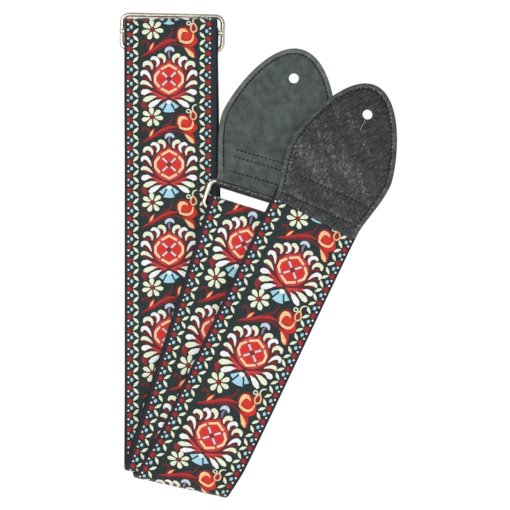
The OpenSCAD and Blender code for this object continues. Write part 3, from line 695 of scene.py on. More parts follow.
def vine(shapes):
    """A red stem with its curl, its leaves and a drop, running up to the right."""
    low_stem = [(-15.2, -38.2), (-10.2, -35.7), (-4.8, -32.5), (0.2, -30.8), (4.1, -30.7), (7.6, -32.0)]
    high_stem = [(-14.0, -37.2), (-8.4, -34.0), (-4.1, -30.6), (0.2, -28.6), (4.3, -28.5)]
    branch = [(-5.4, -31.7), (-2.3, -28.2), (0.8, -25.6), (1.6, -23.4), (2.1, -20.4)]
    curl = [(-14.2, -30.8), (-14.6, -29.6), (-13.2, -28.9), (-11.7, -29.8), (-10.9, -31.9), (-11.2, -34.4)]
    shapes.stroke("dark_red", low_stem, (0.7, 1.8, 2.1, 1.7, 1.4, 0.9), LOW)
    shapes.stroke("red", high_stem, (0.6, 1.6, 2.0, 1.9, 0.8), MID)
    shapes.stroke("dark_red", branch, (0.8, 1.6, 1.3, 0.9, 0.5), LOW)
    shapes.stroke("dark_red", curl, (0.9, 1.2, 1.2, 1.3, 1.2, 0.7), LOW)
    shapes.stroke("red", [(-11.2, -35.0), (-9.8, -32.5), (-8.0, -29.4)], (0.8, 2.9, 0.7), LOW)
    shapes.stroke("peach", [(-10.5, -34.2), (-9.6, -32.3), (-8.6, -30.2)], (0.4, 1.6, 0.5), HIGH)
    shapes.stroke("red", [(7.3, -31.6), (11.6, -33.9), (14.2, -38.5)], (0.8, 3.9, 1.0), LOW)
    drop = [(8.7, -32.9), (10.4, -34.6), (12.2, -36.6), (13.4, -38.4)]
    shapes.stroke("peach", drop, (0.6, 2.0, 2.9, 0.9), HIGH)


def bloom(shapes):
    """The red and peach flower at the end of the stem."""
    cup = [(4.1, -27.2), (5.2, -22.4), (9.4, -20.6), (13.0, -23.4), (15.2, -28.4), (12.8, -31.8),
           (8.0, -30.6)]
    crest = [(3.9, -27.6), (4.3, -23.2), (6.8, -20.6), (10.2, -21.2), (12.4, -23.6)]
    foot = [(13.9, -26.4), (14.6, -28.8), (12.8, -31.0), (10.0, -31.3)]
    left_petal = [(6.2, -28.8), (5.7, -25.8), (6.4, -23.3), (8.2, -22.7), (10.2, -23.8)]
    low_petal = [(5.7, -28.6), (8.8, -29.7), (11.6, -29.3), (12.9, -27.3), (13.1, -24.6)]
    shapes.blob("red", smooth_loop(cup), LOW)
    shapes.stroke("dark_red", crest, (0.7, 1.2, 1.3, 1.0, 0.5), MID)
    shapes.stroke("bright_red", foot, (0.6, 1.7, 1.9, 0.7), MID)
    shapes.oval("orange", (9.7, -25.9), 3.0, 2.3, MID, 12)
    shapes.stroke("peach", left_petal, (0.9, 2.2, 3.0, 2.4, 0.5), HIGH)
    shapes.stroke("peach", low_petal, (1.3, 1.9, 1.9, 1.4, 0.5), HIGH)


def curls(shapes):
    """A small ring and a drop on a curled stem, at the right of the flower."""
    angles = np.linspace(0, 2 * math.pi, 9)
    ring = [(10.7 + 1.05 * math.cos(a), -18.6 + 1.05 * math.sin(a)) for a in angles]
    stem = [(15.2, -14.4), (13.6, -15.2), (12.9, -16.6), (13.0, -18.2)]
    drop = [(13.0, -18.1), (12.0, -20.1), (11.8, -22.2), (13.0, -23.8), (14.7, -22.9), (14.8, -20.6),
            (13.0, -18.1)]
    shapes.stroke("straw", ring, [0.65] * len(ring), MID, 2)
    shapes.stroke("straw", stem, (0.5, 0.8, 0.8, 0.6), MID)
    shapes.oval("brick", (13.4, -21.4), 1.3, 1.9, LOW)
    shapes.stroke("peach", drop, [0.85] * len(drop), HIGH, 3)


def border(side):
    """A square, its leaves and the spots above it, at the left (-1) or right (1) edge."""
    shapes = Shapes()
    shapes.oval("brick", (21.6 * side, 0), 1.5, 1.6, MID, 8, 22.5)
    shapes.oval("red", (21.6 * side, 0), 0.6, 0.7, HIGH, 6)
    shapes.oval("blue", (20.5 * side, BORDER_PITCH / 2), 0.9, 1.15, MID, 6)
    for dy in (-1, 1):
        shapes.oval("white", (22.3 * side, BORDER_PITCH / 2 + 1.5 * dy), 0.6, 0.6, HIGH, 6)
        leaf = [(19.6 * side, 0.5 * dy), (18.1 * side, 1.9 * dy), (16.8 * side, 3.4 * dy)]
        shapes.stroke("straw", leaf, (0.5, 1.8, 0.5), HIGH, 3)
    return shapes


pattern = Shapes()
for draw in (medallion, petals, fan, daisy, vine, bloom, curls):
    draw(pattern)


# Where the pattern falls: its first medallion on each run that shows, and the pitch there
FRONT_FIRST, LEFT_FIRST, MIDDLE_FIRST = 31.6, 28.6, 17.1
LEFT_PITCH = 46.6
FRONT_TOP_PITCH, FRONT_FOOT_PITCH = 47.6, 44.0
# Its width and sideways shift at the front run's top and foot, the left run's, and on the middle run
WIDENS = (1.04, 1.04, 1.0, 1.0, 1.0)
SHIFTS = (1.9, 0.9, -1.0, -1.0, -0.2)
BORDER_SHIFTS = (0.5, 0.3, -1.0, -1.0, -0.2)
# The first border square and the pitch, up from the front run's fold and down from the left run's top
FRONT_BORDER = {-1: (3.5, 8.4), 1: (6.3, 7.98)}
LEFT_BORDER = {-1: (4.5, 7.71), 1: (6.7, 7.97)}


def spread(first, last, pitch):
    """Evenly spaced places after first and before last, about a pitch apart."""
    steps = round((last - first) / pitch)
    return list(np.linspace(first, last, steps + 1)[1:-1])


front_first = tape.end["front_run"] - FRONT_RUN_L + FRONT_FIRST
left_first = tape.begin["left_run"] + LEFT_FIRST
middle_first = tape.begin["middle_run"] + MIDDLE_FIRST
on_front = [front_first - FRONT_TOP_PITCH] + [front_first + REPEAT * i for i in range(3)]
on_front.append(on_front[-1] + FRONT_FOOT_PITCH)
on_left = [left_first + LEFT_PITCH * i for i in range(5)]
on_middle = [middle_first + REPEAT * i for i in range(10)]
centres = on_front + spread(on_front[-1], on_left[0], REPEAT) + on_left
centres += spread(on_left[-1], on_middle[0], REPEAT) + on_middle
shift_at = [on_front[1], on_front[-2], on_left[0], on_left[-1], on_middle[0]]


def border_places(side):
    """Every border square along one edge of the tape."""
    (front, front_pitch), (left, left_pitch) = FRONT_BORDER[side], LEFT_BORDER[side]
    up_front = tape.end["front_run"] - np.arange(front, FRONT_RUN_L + TUCK_L, front_pitch)[::-1]
    down_left = tape.begin["left_run"] + np.arange(left, LEFT_RUN_L, left_pitch)
    half_step = BORDER_PITCH / 2 if side == 1 else 0.0
    beyond = np.arange(middle_first + half_step, tape.end["loop_tail"], BORDER_PITCH)
    return np.concatenate([up_front, spread(up_front[-1], down_left[0], BORDER_PITCH), down_left,
                           spread(down_left[-1], beyond[0], BORDER_PITCH), beyond])


# Cloth pieces in order, the bodies they ride on, and how far a fold's piece reaches into its runs
RIDES = {
    "front_run": "front_flap", "back_run": "strap", "top_fold": "strap", "left_run": "strap",
    "under_run": "inner_flap", "ring_loop": "inner_flap", "middle_run": "inner_flap",
    "return_run": "strap", "slider_loop": "slider",
}
PIECES = ["front_run", "front_fold", "back_run", "top_fold", "left_run", "inner_fold", "under_run",
          "ring_loop", "middle_run", "middle_fold", "return_run", "return_lead", "slider_loop"]
REACH = {"inner_fold": 5.0, "ring_loop": 4.0}


def fold_blend(obj):
    """Bakes a fold's cloth into place in the strap's frame, without bending it between the strap and a
    flap.
    """
    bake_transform(obj)


def attach(obj, piece):
    if piece in RIDES:
        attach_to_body(obj, RIDES[piece])
    elif piece == "front_fold":
        fold_blend(obj)
    elif piece == "inner_fold":
        fold_blend(obj)
    elif piece == "middle_fold":
        fold_blend(obj)
    else:
        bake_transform(obj)


def cuts():
    """The places where one cloth piece ends and the next begins, each with its slant across the tape."""
    found = [(0.0, 0.0)]
    for i, part in enumerate(tape.parts[:-3]):
        after = tape.parts[i + 1]
        bend = part if isinstance(part, Bend) else after if isinstance(after, Bend) else None
        if part.name == "return_lead" or bend is None:
            found.append((tape.end[part.name], 0.0))
            continue
        grow = REACH.get(bend.name, 0.0) * (1 if bend is part else -1)
        found.append((tape.end[part.name] + grow, bend.sense * math.tan(bend.skew)))
    return found + [(tape.end["loop_tail"], 0.0)]


CUTS = cuts()
RUN_STEP, BEND_STEP = 3.0, 0.6
# An edge's rounding as a share of the cloth's thickness, and how far its corner is cut as a share of that
EDGE_SOFT, CORNER_CUT = 0.35, 0.3


def stations(piece):
    """Rows of places along a cloth piece, close together where it bends."""
    i = PIECES.index(piece)
    (low, low_slant), (high, high_slant) = CUTS[i], CUTS[i + 1]
    step = RUN_STEP if piece.endswith("_run") else BEND_STEP
    t = np.linspace(0, 1, max(3, math.ceil((high - low) / step)))
    return mix(low, high, t), mix(low_slant, high_slant, t)


def section(half_w, low, high, columns):
    """A closed cross-section (x, e) with softly rounded edges."""
    r = EDGE_SOFT * (high - low)
    cut = CORNER_CUT * r
    top = [(x, high) for x in columns]
    edge = [(half_w - cut, high - cut), (half_w, high - r), (half_w, low + r), (half_w - cut, low + cut)]
    bottom = [(x, low) for x in reversed(columns)]
    return np.array(top + edge + bottom + [(-x, e) for x, e in reversed(edge)])


def strip(name, piece, outline, materials, slot_of_x):
    """A closed strip of cloth with that cross-section, along one piece of the tape."""
    s, slant = stations(piece)
    n = len(outline)
    x = np.tile(outline[:, 0], len(s))
    e = np.tile(outline[:, 1], len(s))
    along = np.repeat(s, n) + np.repeat(slant, n) * x
    faces = capped(len(s), n)
    slots = [slot_of_x((x[face[0]] + x[face[1]]) / 2) for face in faces[:-2]] + [0, 0]
    obj = mesh_object(name, tape.place(along, x, e), faces, materials, slots, np.column_stack([x, along]))
    outward(obj)
    return obj


def outward(obj):
    """Turns the faces of a closed mesh outwards."""
    shape = bmesh.new()
    shape.from_mesh(obj.data)
    bmesh.ops.recalc_face_normals(shape, faces=shape.faces)
    shape.to_mesh(obj.data)
    shape.free()


# The cloth's cross-sections: the ribbon's plain thickness, and where its edge band and the flat parts end
RIBBON_HALF = TAPE_W / 2 - RIBBON_INSET
GROUND_E = 0.3
EDGE_BAND_X = 23.3
RIBBON_FLAT_X = 24.6
WEBBING_FLAT_X = 25.1


class Brocade:
    """The raised pattern of one cloth piece, gathered shape by shape."""

    def __init__(self):
        self.points, self.faces, self.slots, self.uv, self.count = [], [], [], [], 0

    def add(self, colour, s, x, e, faces):
        self.points.append(tape.place(s, x, e))
        self.uv.append(np.column_stack([x, s]))
        self.faces += [tuple(i + self.count for i in face) for face in faces]
        self.slots += [colour] * len(faces)
        self.count += len(s)


def piece_of(s, x):
    """The cloth piece that a shape belongs to: a bending one if any point of it is there."""
    passed = np.array([s > place + slant * x for place, slant in CUTS[1:-1]]).sum(axis=0)
    bending = [i for i in passed if PIECES[i] not in RIDES]
    return PIECES[bending[0] if bending else int(np.median(passed))]


brocades = {piece: Brocade() for piece in PIECES}


def lay(shapes, along, shifts):
    """Adds shapes to the cloth pieces they fall on, where along turns their y into a place on the tape."""
    for colour, shape, faces in shapes.items:
        x, y, h = shape.T
        s = along(y)
        if s.min() < 0 or s.max() > tape.end["loop_tail"]:
            continue
        x = x * np.interp(s, shift_at, WIDENS) + np.interp(s, shift_at, shifts)
        brocades[piece_of(s, x)].add(colour, s, x, GROUND_E + h, faces)


def repeat_knots(before, after):
    """Places along a repeat: its medallion keeps its size, the rest stretches to its neighbours."""
    half = MEDALLION_HALF
    return (-after, half - after, -half, half, before - half, before)


DRAWN_KNOTS = repeat_knots(REPEAT, REPEAT)
steps = np.diff([centres[0] - REPEAT] + centres + [centres[-1] + REPEAT])
for centre, before, after in zip(centres, steps[:-1], steps[1:]):
    knots = repeat_knots(before, after)
    lay(pattern, lambda y: centre - np.interp(y, DRAWN_KNOTS, knots), SHIFTS)
for side in (-1, 1):
    square = border(side)
    for place in border_places(side):
        lay(square, lambda y: place - y, BORDER_SHIFTS)

webbing_section = section(TAPE_W / 2, -WEBBING_T, 0.0, [-WEBBING_FLAT_X, 0.0, WEBBING_FLAT_X])
ribbon_columns = [-RIBBON_FLAT_X, -EDGE_BAND_X, 0.0, EDGE_BAND_X, RIBBON_FLAT_X]
ribbon_section = section(RIBBON_HALF, 0.0, GROUND_E, ribbon_columns)
for piece in PIECES:
    webbing = strip(f"{piece}_webbing_cloth", piece, webbing_section, [webbing_material], lambda x: 0)
    ribbon = strip(f"{piece}_ribbon_cloth", piece, ribbon_section, [ground_material, edge_material],
                   lambda x: int(abs(x) > EDGE_BAND_X))
    b = brocades[piece]
    raised = mesh_object(f"{piece}_brocade", np.vstack(b.points), b.faces, thread_materials, b.slots,
                         np.vstack(b.uv))
    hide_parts(f"{piece}_webbing")
    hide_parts(f"{piece}_ribbon")
    for obj in (webbing, ribbon, raised):
        attach(obj, piece)


# Leather tabs: plates built in their own frame, x across, u out from the sewn end, h off the plate
def on_plane(base, z, tilt, slope):
    """A function that puts points (x, u, h) of a sloped plane in the strap's frame, in metres."""
    turn = math.radians(slope)

    def put(points):
        x, u, h = np.asarray(points, dtype=float).T
        out = u * math.cos(turn) + h * math.sin(turn)
        plan = base + np.outer(x, across(tilt)) + np.outer(out, ahead(tilt))
        return np.column_stack([plan, z + h * math.cos(turn) - u * math.sin(turn)]) * MM

    return put


FRONT_TAB_Z = FRONT_HIGH_Z + RIBBON_T
REAR_PLATE_LOW = -FACE_T - REAR_PLATE_DROP * LEATHER_LOOP_R
REAR_TAB_SLOPE = math.degrees(math.asin((RING_Z + REAR_PLATE_LOW) / REAR_TAB_L))
FRONT_TAB_P = FRONT_BASE_P + across(FRONT_TILT) * FRONT_TAB_SHIFT
on_front_tab = on_plane(FRONT_TAB_P, FRONT_TAB_Z, FRONT_TAB_TILT, FRONT_TAB_SLOPE)
on_rear_loop = on_plane(RING_HIGH_P, RING_Z, RING_TILT, REAR_TAB_SLOPE)


def unturned(x, u):
    """The rear tab's outline is turned a little on its loop: its points before that turn."""
    turn = math.radians(REAR_TAB_TURN)
    return x * math.cos(turn) - u * math.sin(turn), x * math.sin(turn) + u * math.cos(turn)


def on_rear_tab(points):
    x, u, h = np.asarray(points, dtype=float).T
    return on_rear_loop(np.column_stack([*unturned(x, u), h]))


class Outline:
    """A tab's outline, from a place along it round its tip and back, at any distance inside the edge."""

    def __init__(self, length, wide_w, start, drop=0.0):
        self.wide_u, self.tip_u, self.wide = length - TAB_NOSE_L, length, wide_w / 2
        self.start, self.drop = start, drop

    def half(self, u, inset=0.0):
        base, wide, tip = TAB_BASE_W / 2 - inset, self.wide - inset, self.tip_u - inset
        side = mix(base, wide, np.sin(np.pi / 2 * np.clip(u / self.wide_u, 0, 1)) ** SIDE_POWER)
        v = np.clip((u - self.wide_u) / (tip - self.wide_u), 0, 1)
        return np.where(u < self.wide_u, side, wide * np.sqrt(1 - v ** NOSE_POWER))

    def edge(self, inset, step):
        """Evenly spaced points up the right side, round the tip and down the left side."""
        turn = np.sin(np.linspace(0, np.pi / 2, 240))
        u = np.concatenate([np.linspace(self.start + inset, self.wide_u, 120)[:-1],
                            mix(self.wide_u, self.tip_u - inset, turn)])
        x = self.half(u, inset)
        path = np.vstack([np.column_stack([x, u]), np.column_stack([-x, u])[-2::-1]])
        return even(path, step)

    def loop(self, inset, step):
        """The whole outline, closed across the sewn end, which may drop towards its right corner."""
        edge = self.edge(inset, step)
        across_end = even(np.array([edge[-1], edge[0] - (0, self.drop), edge[0]]), step)[1:-1]
        return np.vstack([edge, across_end])


def even(path, step):
    """Points about a step apart along a path."""
    runs = np.concatenate([[0], np.cumsum(np.linalg.norm(np.diff(path, axis=0), axis=1))])
    places = np.linspace(0, runs[-1], max(2, round(runs[-1] / step) + 1))
    return np.column_stack([np.interp(places, runs, path[:, i]) for i in (0, 1)])


def hole_loop(hole_x, hole_u, slit_open, grow=0.0):
    """The button hole with its slit towards the sewn end."""
    radius, half_slit = BUTTON_HOLE_R + grow, slit_open / 2 + grow
    open_a = math.asin(half_slit / radius)
    angles = np.linspace(open_a, 2 * math.pi - open_a, 40)
    ring = [(-radius * math.sin(a), hole_u - radius * math.cos(a)) for a in angles]
    foot = hole_u - BUTTON_HOLE_R - SLIT_L - grow
    slit = [(half_slit, u) for u in np.linspace(ring[-1][1], foot, 12)[1:]]
    return np.array(ring + slit + [(-x, u) for x, u in reversed(slit)]) + (hole_x, 0)


def to_path(points, path):
    """Distance of each point from a path."""
    nearest = np.full(len(points), np.inf)
    for start, end in zip(path[:-1], path[1:]):
        d = end - start
        t = np.clip((points - start) @ d / (d @ d), 0, 1)
        nearest = np.minimum(nearest, np.linalg.norm(points - start - np.outer(t, d), axis=1))
    return nearest


def to_loop(points, loop):
    return to_path(points, np.vstack([loop, loop[:1]]))


# Smallest divisor in a crossing test, and how close two points of a plate may lie before they become one
NOT_ZERO, MERGE_WITHIN = 1e-12, 1e-5


def inside(points, loop):
    """Whether each point lies within a closed outline."""
    x, y = points.T
    hit = np.zeros(len(points), dtype=bool)
    for (x0, y0), (x1, y1) in zip(loop, np.roll(loop, -1, axis=0)):
        crosses = (y0 > y) != (y1 > y)
        hit ^= crosses & (x < (x1 - x0) * (y - y0) / (y1 - y0 + NOT_ZERO) + x0)
    return hit


EDGE_ROUND = 0.55
CROWN, CROWN_REACH = 1.3, 22.0
GROOVE_W, GROOVE_DEEP = 1.1, 0.28
SEAM_SHADE_W = 0.8
# Waves of soft leather (height, turn across, turn along, phase), their fade at the rim, the lining's share
WAVES = ((0.10, 0.21, 0.34, 1.0), (0.07, 0.47, -0.26, 0.0), (0.04, 0.83, 0.61, 2.0))
WAVE_FADE = 6.0
LINING_WAVES = 0.6
# Rings of points round the button hole and inside the rim
COLLARS = (0.12, 0.3, 0.55)
RINGS = (0.08, 0.2, 0.38, 0.6, 1.0, 1.6, 2.2, 2.5, 2.75, 3.0, 3.25, 3.5, 3.8, 4.4)


class Plate:
    """A leather plate cut to an outline with its button hole, ready to be given thickness."""

    def __init__(self, outline, hole_x, slit_open, spacing=1.3):
        rim = outline.loop(0, STITCH_PITCH / 4)
        hole_u = outline.tip_u - BUTTON_HOLE_IN
        hole = hole_loop(hole_x, hole_u, slit_open)
        collars = [hole_loop(hole_x, hole_u, slit_open, grow) for grow in COLLARS]
        collars = [c[~inside(c, hole)] for c in collars]
        spread_x = np.arange(-outline.wide, outline.wide, spacing)
        spread_u = np.arange(outline.start - outline.drop, outline.tip_u, spacing)
        grid = np.array([(x + spacing / 2 * (i % 2), u) for i, u in enumerate(spread_u) for x in spread_x])
        grid = grid[inside(grid, outline.loop(RINGS[-1] + spacing / 2, 1.0))]
        grid = grid[to_loop(grid, hole) > spacing]
        grid = grid[~inside(grid, hole)]
        inner = [outline.loop(ring, STITCH_PITCH / 4) for ring in RINGS]
        points = np.vstack([rim, hole] + inner + collars + [grid])
        bounds = [(i, (i + 1) % len(rim)) for i in range(len(rim))]
        bounds += [(len(rim) + i, len(rim) + (i + 1) % len(hole)) for i in range(len(hole))]
        found, _, faces, _, _, _ = delaunay_2d_cdt([Vector(p) for p in points], bounds, [], 0, MERGE_WITHIN)
        self.points = np.array([tuple(p) for p in found])
        middles = np.array([self.points[list(f)].mean(axis=0) for f in faces])
        keep = inside(middles, rim) & ~inside(middles, hole)
        self.faces = [tuple(f) for f, k in zip(faces, keep) if k]
        self.from_rim, self.from_hole = to_loop(self.points, rim), to_loop(self.points, hole)
        self.from_side = to_path(self.points, outline.edge(0, STITCH_PITCH / 4))

    def solid(self, name, put, low, high, materials, top_slot=lambda d: 0):
        """The plate between two heights, each a function of the points, as a closed mesh.
        The material of its top goes by the distance from its sides and tip."""
        n = len(self.points)
        top = np.column_stack([self.points, high(self)])
        bottom = np.column_stack([self.points, low(self)])
        up = [f if self.turns_left(f) else f[::-1] for f in self.faces]
        faces = up + [tuple(i + n for i in f[::-1]) for f in up]
        slots = [top_slot(self.from_side[list(f)].mean()) for f in up] + [0] * len(up)
        edges = {(a, b) for f in up for a, b in zip(f, f[1:] + f[:1])}
        walls = [(b, a, a + n, b + n) for a, b in sorted(edges) if (b, a) not in edges]
        slots += [top_slot(0.0)] * len(walls)
        return mesh_object(name, put(np.vstack([top, bottom])), faces + walls, materials, slots)

    def turns_left(self, face):
        a, b, c = self.points[list(face[:3])]
        return (b[0] - a[0]) * (c[1] - a[1]) - (b[1] - a[1]) * (c[0] - a[0]) > 0


def rounded(distance):
    """How far a softly rounded edge drops, by the distance from it."""
    inward = np.clip(EDGE_ROUND - distance, 0, EDGE_ROUND)
    return EDGE_ROUND - np.sqrt(EDGE_ROUND ** 2 - inward ** 2)


def groove(distance):
    """A stitching groove, by the distance from its middle."""
    return GROOVE_DEEP * np.exp(-(distance / (GROOVE_W / 2)) ** 2)


def soft_waves(plate):
    """The gentle unevenness of a piece of soft leather, away from its rim."""
    x, u = plate.points.T
    waves = sum(height * np.sin(by_x * x + by_u * u + phase) for height, by_x, by_u, phase in WAVES)
    return waves * ease(plate.from_rim / WAVE_FADE)


def step_between(low, high, u0, u1):
    return lambda u: mix(low, high, np.clip((u - u0) / (u1 - u0), 0, 1))


def dips(plate, rows=()):
    """The grooves of the edge seam and of rows across the tab."""
    return groove(plate.from_side - STITCH_INSET) + sum(groove(plate.points[:, 1] - row) for row in rows)


def edge_drop(plate):
    """How far the rim and the button hole's edge are rounded off."""
    return rounded(plate.from_rim) + rounded(plate.from_hole)


# A stitch: its sides and cross-sections, and its shares of the thread's thickness or the stitch's length
STITCH_SIDES = 8
STITCH_STOPS = (-1.0, -0.8, -0.4, 0.0, 0.4, 0.8, 1.0)
STITCH_GIRTH, STITCH_TIP, STITCH_ARCH = 0.75, 0.02, 0.2
STITCH_REACH, STITCH_FLAT, STITCH_SINK = 0.58, 0.7, 0.06


def capsule_rows(name, put, spots, surface):
    """Thread stitches, each lying along its heading and dipping into the leather at both ends."""
    points, faces = [], []
    for (x, u), heading in spots:
        forward = np.array([math.sin(heading), math.cos(heading)])
        right = np.array([forward[1], -forward[0]])
        first = len(points)
        for stop in STITCH_STOPS:
            girth = THREAD_T * STITCH_GIRTH * math.sqrt(max(STITCH_TIP, 1 - stop ** 4))
            base = surface(x, u) + THREAD_T * STITCH_ARCH * (1 - stop ** 2)
            middle = np.array([x, u]) + forward * stop * STITCH_L * STITCH_REACH
            for k in range(STITCH_SIDES):
                a = 2 * math.pi * k / STITCH_SIDES
                spot = middle + right * girth * math.cos(a)
                points.append((*spot, base + STITCH_FLAT * girth * math.sin(a) - STITCH_SINK))
        faces += bands(first, len(STITCH_STOPS), STITCH_SIDES)
        end = len(points)
        faces.append(tuple(range(first + STITCH_SIDES - 1, first - 1, -1)))
        faces.append(tuple(range(end - STITCH_SIDES, end)))
    obj = mesh_object(name, put(points), faces, [thread_material])
    outward(obj)
    return obj


def edge_spots(outline, from_u):
    """Stitches along the edge seam, beyond a distance from the sewn end."""
    path = outline.edge(STITCH_INSET, STITCH_PITCH)
    spots = []
    for a, b in zip(path[:-1], path[1:]):
        middle = (a + b) / 2
        if middle[1] > from_u:
            spots.append((tuple(middle), math.atan2(b[0] - a[0], b[1] - a[1])))
    return spots


def row_spots(rows):
    """Stitches in rows across a tab or the tape."""
    half = TAB_BASE_W / 2 - 2 * STITCH_INSET
    count = math.floor(half / STITCH_PITCH)
    return [((i * STITCH_PITCH, row), math.pi / 2) for row in rows for i in range(-count, count + 1)]


def grain(shader, turn, long, short):
    """Creases stretched along a direction in plan."""
    mapping = shader.node("ShaderNodeMapping", vector_type="TEXTURE")
    mapping.inputs["Rotation"].default_value = (0, 0, math.radians(turn))
    mapping.inputs["Scale"].default_value = (long * MM, short * MM, short * MM)
    shader.link(shader.coordinates.outputs["Object"], mapping.inputs["Vector"])
    noise = shader.node("ShaderNodeTexNoise", Scale=1.0, Detail=2.5, Roughness=0.5)
    shader.link(mapping.outputs["Vector"], noise.inputs["Vector"])
    return noise.outputs["Fac"]


def pebbled_leather(name, dark, light, roughness):
    shader = Shader(name, roughness, Specular_IOR_Level=0.5)
    creases = grain(shader, 44, 6.0, 1.6)
    # Crease lines are coloured lighter than the leather between them: the grain's creases carry painted
    # glints.
    shader.colour(shader.ridges(creases, 0.07), dark, light, 0.0, 1.0)
    pebbles = shader.cells(700.0, "SMOOTH_F1")
    shader.bump((creases, 0.7, 0.0012), (pebbles, 0.25, 0.0004), (shader.noise(3200.0), 0.06, 0.0001))
    return shader.material


def suede(name, dark, light):
    shader = Shader(name, 0.88, Specular_IOR_Level=0.2, Sheen_Weight=0.2)
    shader.colour(shader.noise(240.0, 8.0), dark, light, 0.3, 0.7)
    shader.bump((shader.noise(2600.0, 3.0), 0.35, 0.0002), (grain(shader, 70, 11.0, 2.4), 0.3, 0.0005))
    return shader.material


leather_material = pebbled_leather("leather_black", srgb(25, 28, 27), srgb(54, 58, 56), 0.3)
# The rim's lighter leather is partly edge wear and partly a painted highlight along the tab's edge.
leather_worn_highlit_rim_material = pebbled_leather("leather_black_worn_highlit_rim", srgb(46, 50, 48), srgb(78, 82, 80), 0.36)
lining_material = suede("leather_lining", srgb(60, 67, 63), srgb(86, 94, 89))
# The lining's lighter rim band is a painted highlight along its rounded edge.
lining_highlit_rim_material = suede("leather_lining_highlit_rim", srgb(78, 84, 81), srgb(108, 114, 110))
# The seam's darker suede is a painted shade along the stitching groove.
lining_seam_shade_material = suede("leather_lining_seam_shade", srgb(42, 47, 45), srgb(66, 72, 69))
thread_shader = Shader("thread_black", 0.6, Sheen_Weight=0.1, Specular_IOR_Level=0.2)
thread_shader.colour(thread_shader.noise(1500.0), srgb(6, 7, 8), srgb(20, 21, 22))
thread_shader.bump((thread_shader.noise(4000.0), 0.4, 0.0001))
thread_material = thread_shader.material

SEAM = SEAM_GAP / 2
front_outline = Outline(FRONT_TAB_L, FRONT_TAB_WIDE_W, 0.0, FRONT_TAB_DROP)
rear_outline = Outline(REAR_TAB_L, REAR_TAB_WIDE_W, PINCH_L)
front_plate = Plate(front_outline, FRONT_HOLE_SHIFT, FRONT_SLIT_OPEN)
rear_plate = Plate(rear_outline, 0.0, REAR_SLIT_OPEN)


def front_face_top(plate):
    swell = CROWN * (1 - (1 - np.clip((plate.from_rim - STITCH_INSET) / CROWN_REACH, 0, 1)) ** 2)
    swell *= ease((plate.points[:, 1] - FRONT_ROWS[-1]) / CROWN_REACH)
    high = SEAM + FACE_T + soft_waves(plate) + swell - np.minimum(dips(plate, FRONT_ROWS), GROOVE_DEEP)
    return high - edge_drop(plate)


def front_lining_top(plate):
    tuck_end = TUCK_L + TUCK_SPARE
    return step_between(-TAPE_T - SEAM, SEAM, tuck_end, tuck_end + LINING_STEP_L)(plate.points[:, 1])


def front_lining_low(plate):
    return front_lining_top(plate) - LINING_T + edge_drop(plate) + dips(plate)


REAR_FACE_Z = REAR_PLATE_LOW + FACE_T
REAR_FLAP_Z = REAR_FACE_Z + FACE_T
rear_lining_base = step_between(REAR_FLAP_Z, REAR_FACE_Z, FLAP_L, FLAP_L + LINING_STEP_L)


def rear_face_low(plate):
    return REAR_PLATE_LOW + edge_drop(plate) + dips(plate)


def rear_lining_low(plate):
    return rear_lining_base(unturned(*plate.points.T)[1])


def rear_lining_top(plate):
    high = rear_lining_low(plate) + LINING_T + LINING_WAVES * soft_waves(plate)
    return high - np.minimum(dips(plate, REAR_ROWS), GROOVE_DEEP) - edge_drop(plate)


def flat_at(z):
    return lambda plate: np.full(len(plate.points), z)


# Faces near the sides and tip take the lighter rim leather: edge wear with a painted highlight.
def worn_highlit_rim_slot(distance):
    return int(distance < RIM_W)


def lining_slot(distance):
    """The lining's plain part (0), its rim with a painted highlight (1) and the painted shade along its
    seam (2).
    """
    if abs(distance - STITCH_INSET) < SEAM_SHADE_W / 2:
        return 2
    return int(distance < STITCH_INSET)


face_materials = [leather_material, leather_worn_highlit_rim_material]
lining_materials = [lining_material, lining_highlit_rim_material, lining_seam_shade_material]
front_face = front_plate.solid("front_tab_leather", on_front_tab, flat_at(SEAM), front_face_top,
                               face_materials, worn_highlit_rim_slot)
front_lining = front_plate.solid("front_tab_backing", on_front_tab, front_lining_low, front_lining_top,
                                 [lining_material])
rear_face = rear_plate.solid("rear_tab_leather", on_rear_tab, rear_face_low, flat_at(REAR_FACE_Z),
                             [leather_material])
rear_lining = rear_plate.solid("rear_tab_backing", on_rear_tab, rear_lining_low, rear_lining_top,
                               lining_materials, lining_slot)

# Where the leather loop's top starts to be painted in the lining's lighter grey as a highlight on its
# rolled edge, and how much its corners are trimmed
LOOP_LIT_FROM_U = 0.2
LOOP_TRIM = 0.25


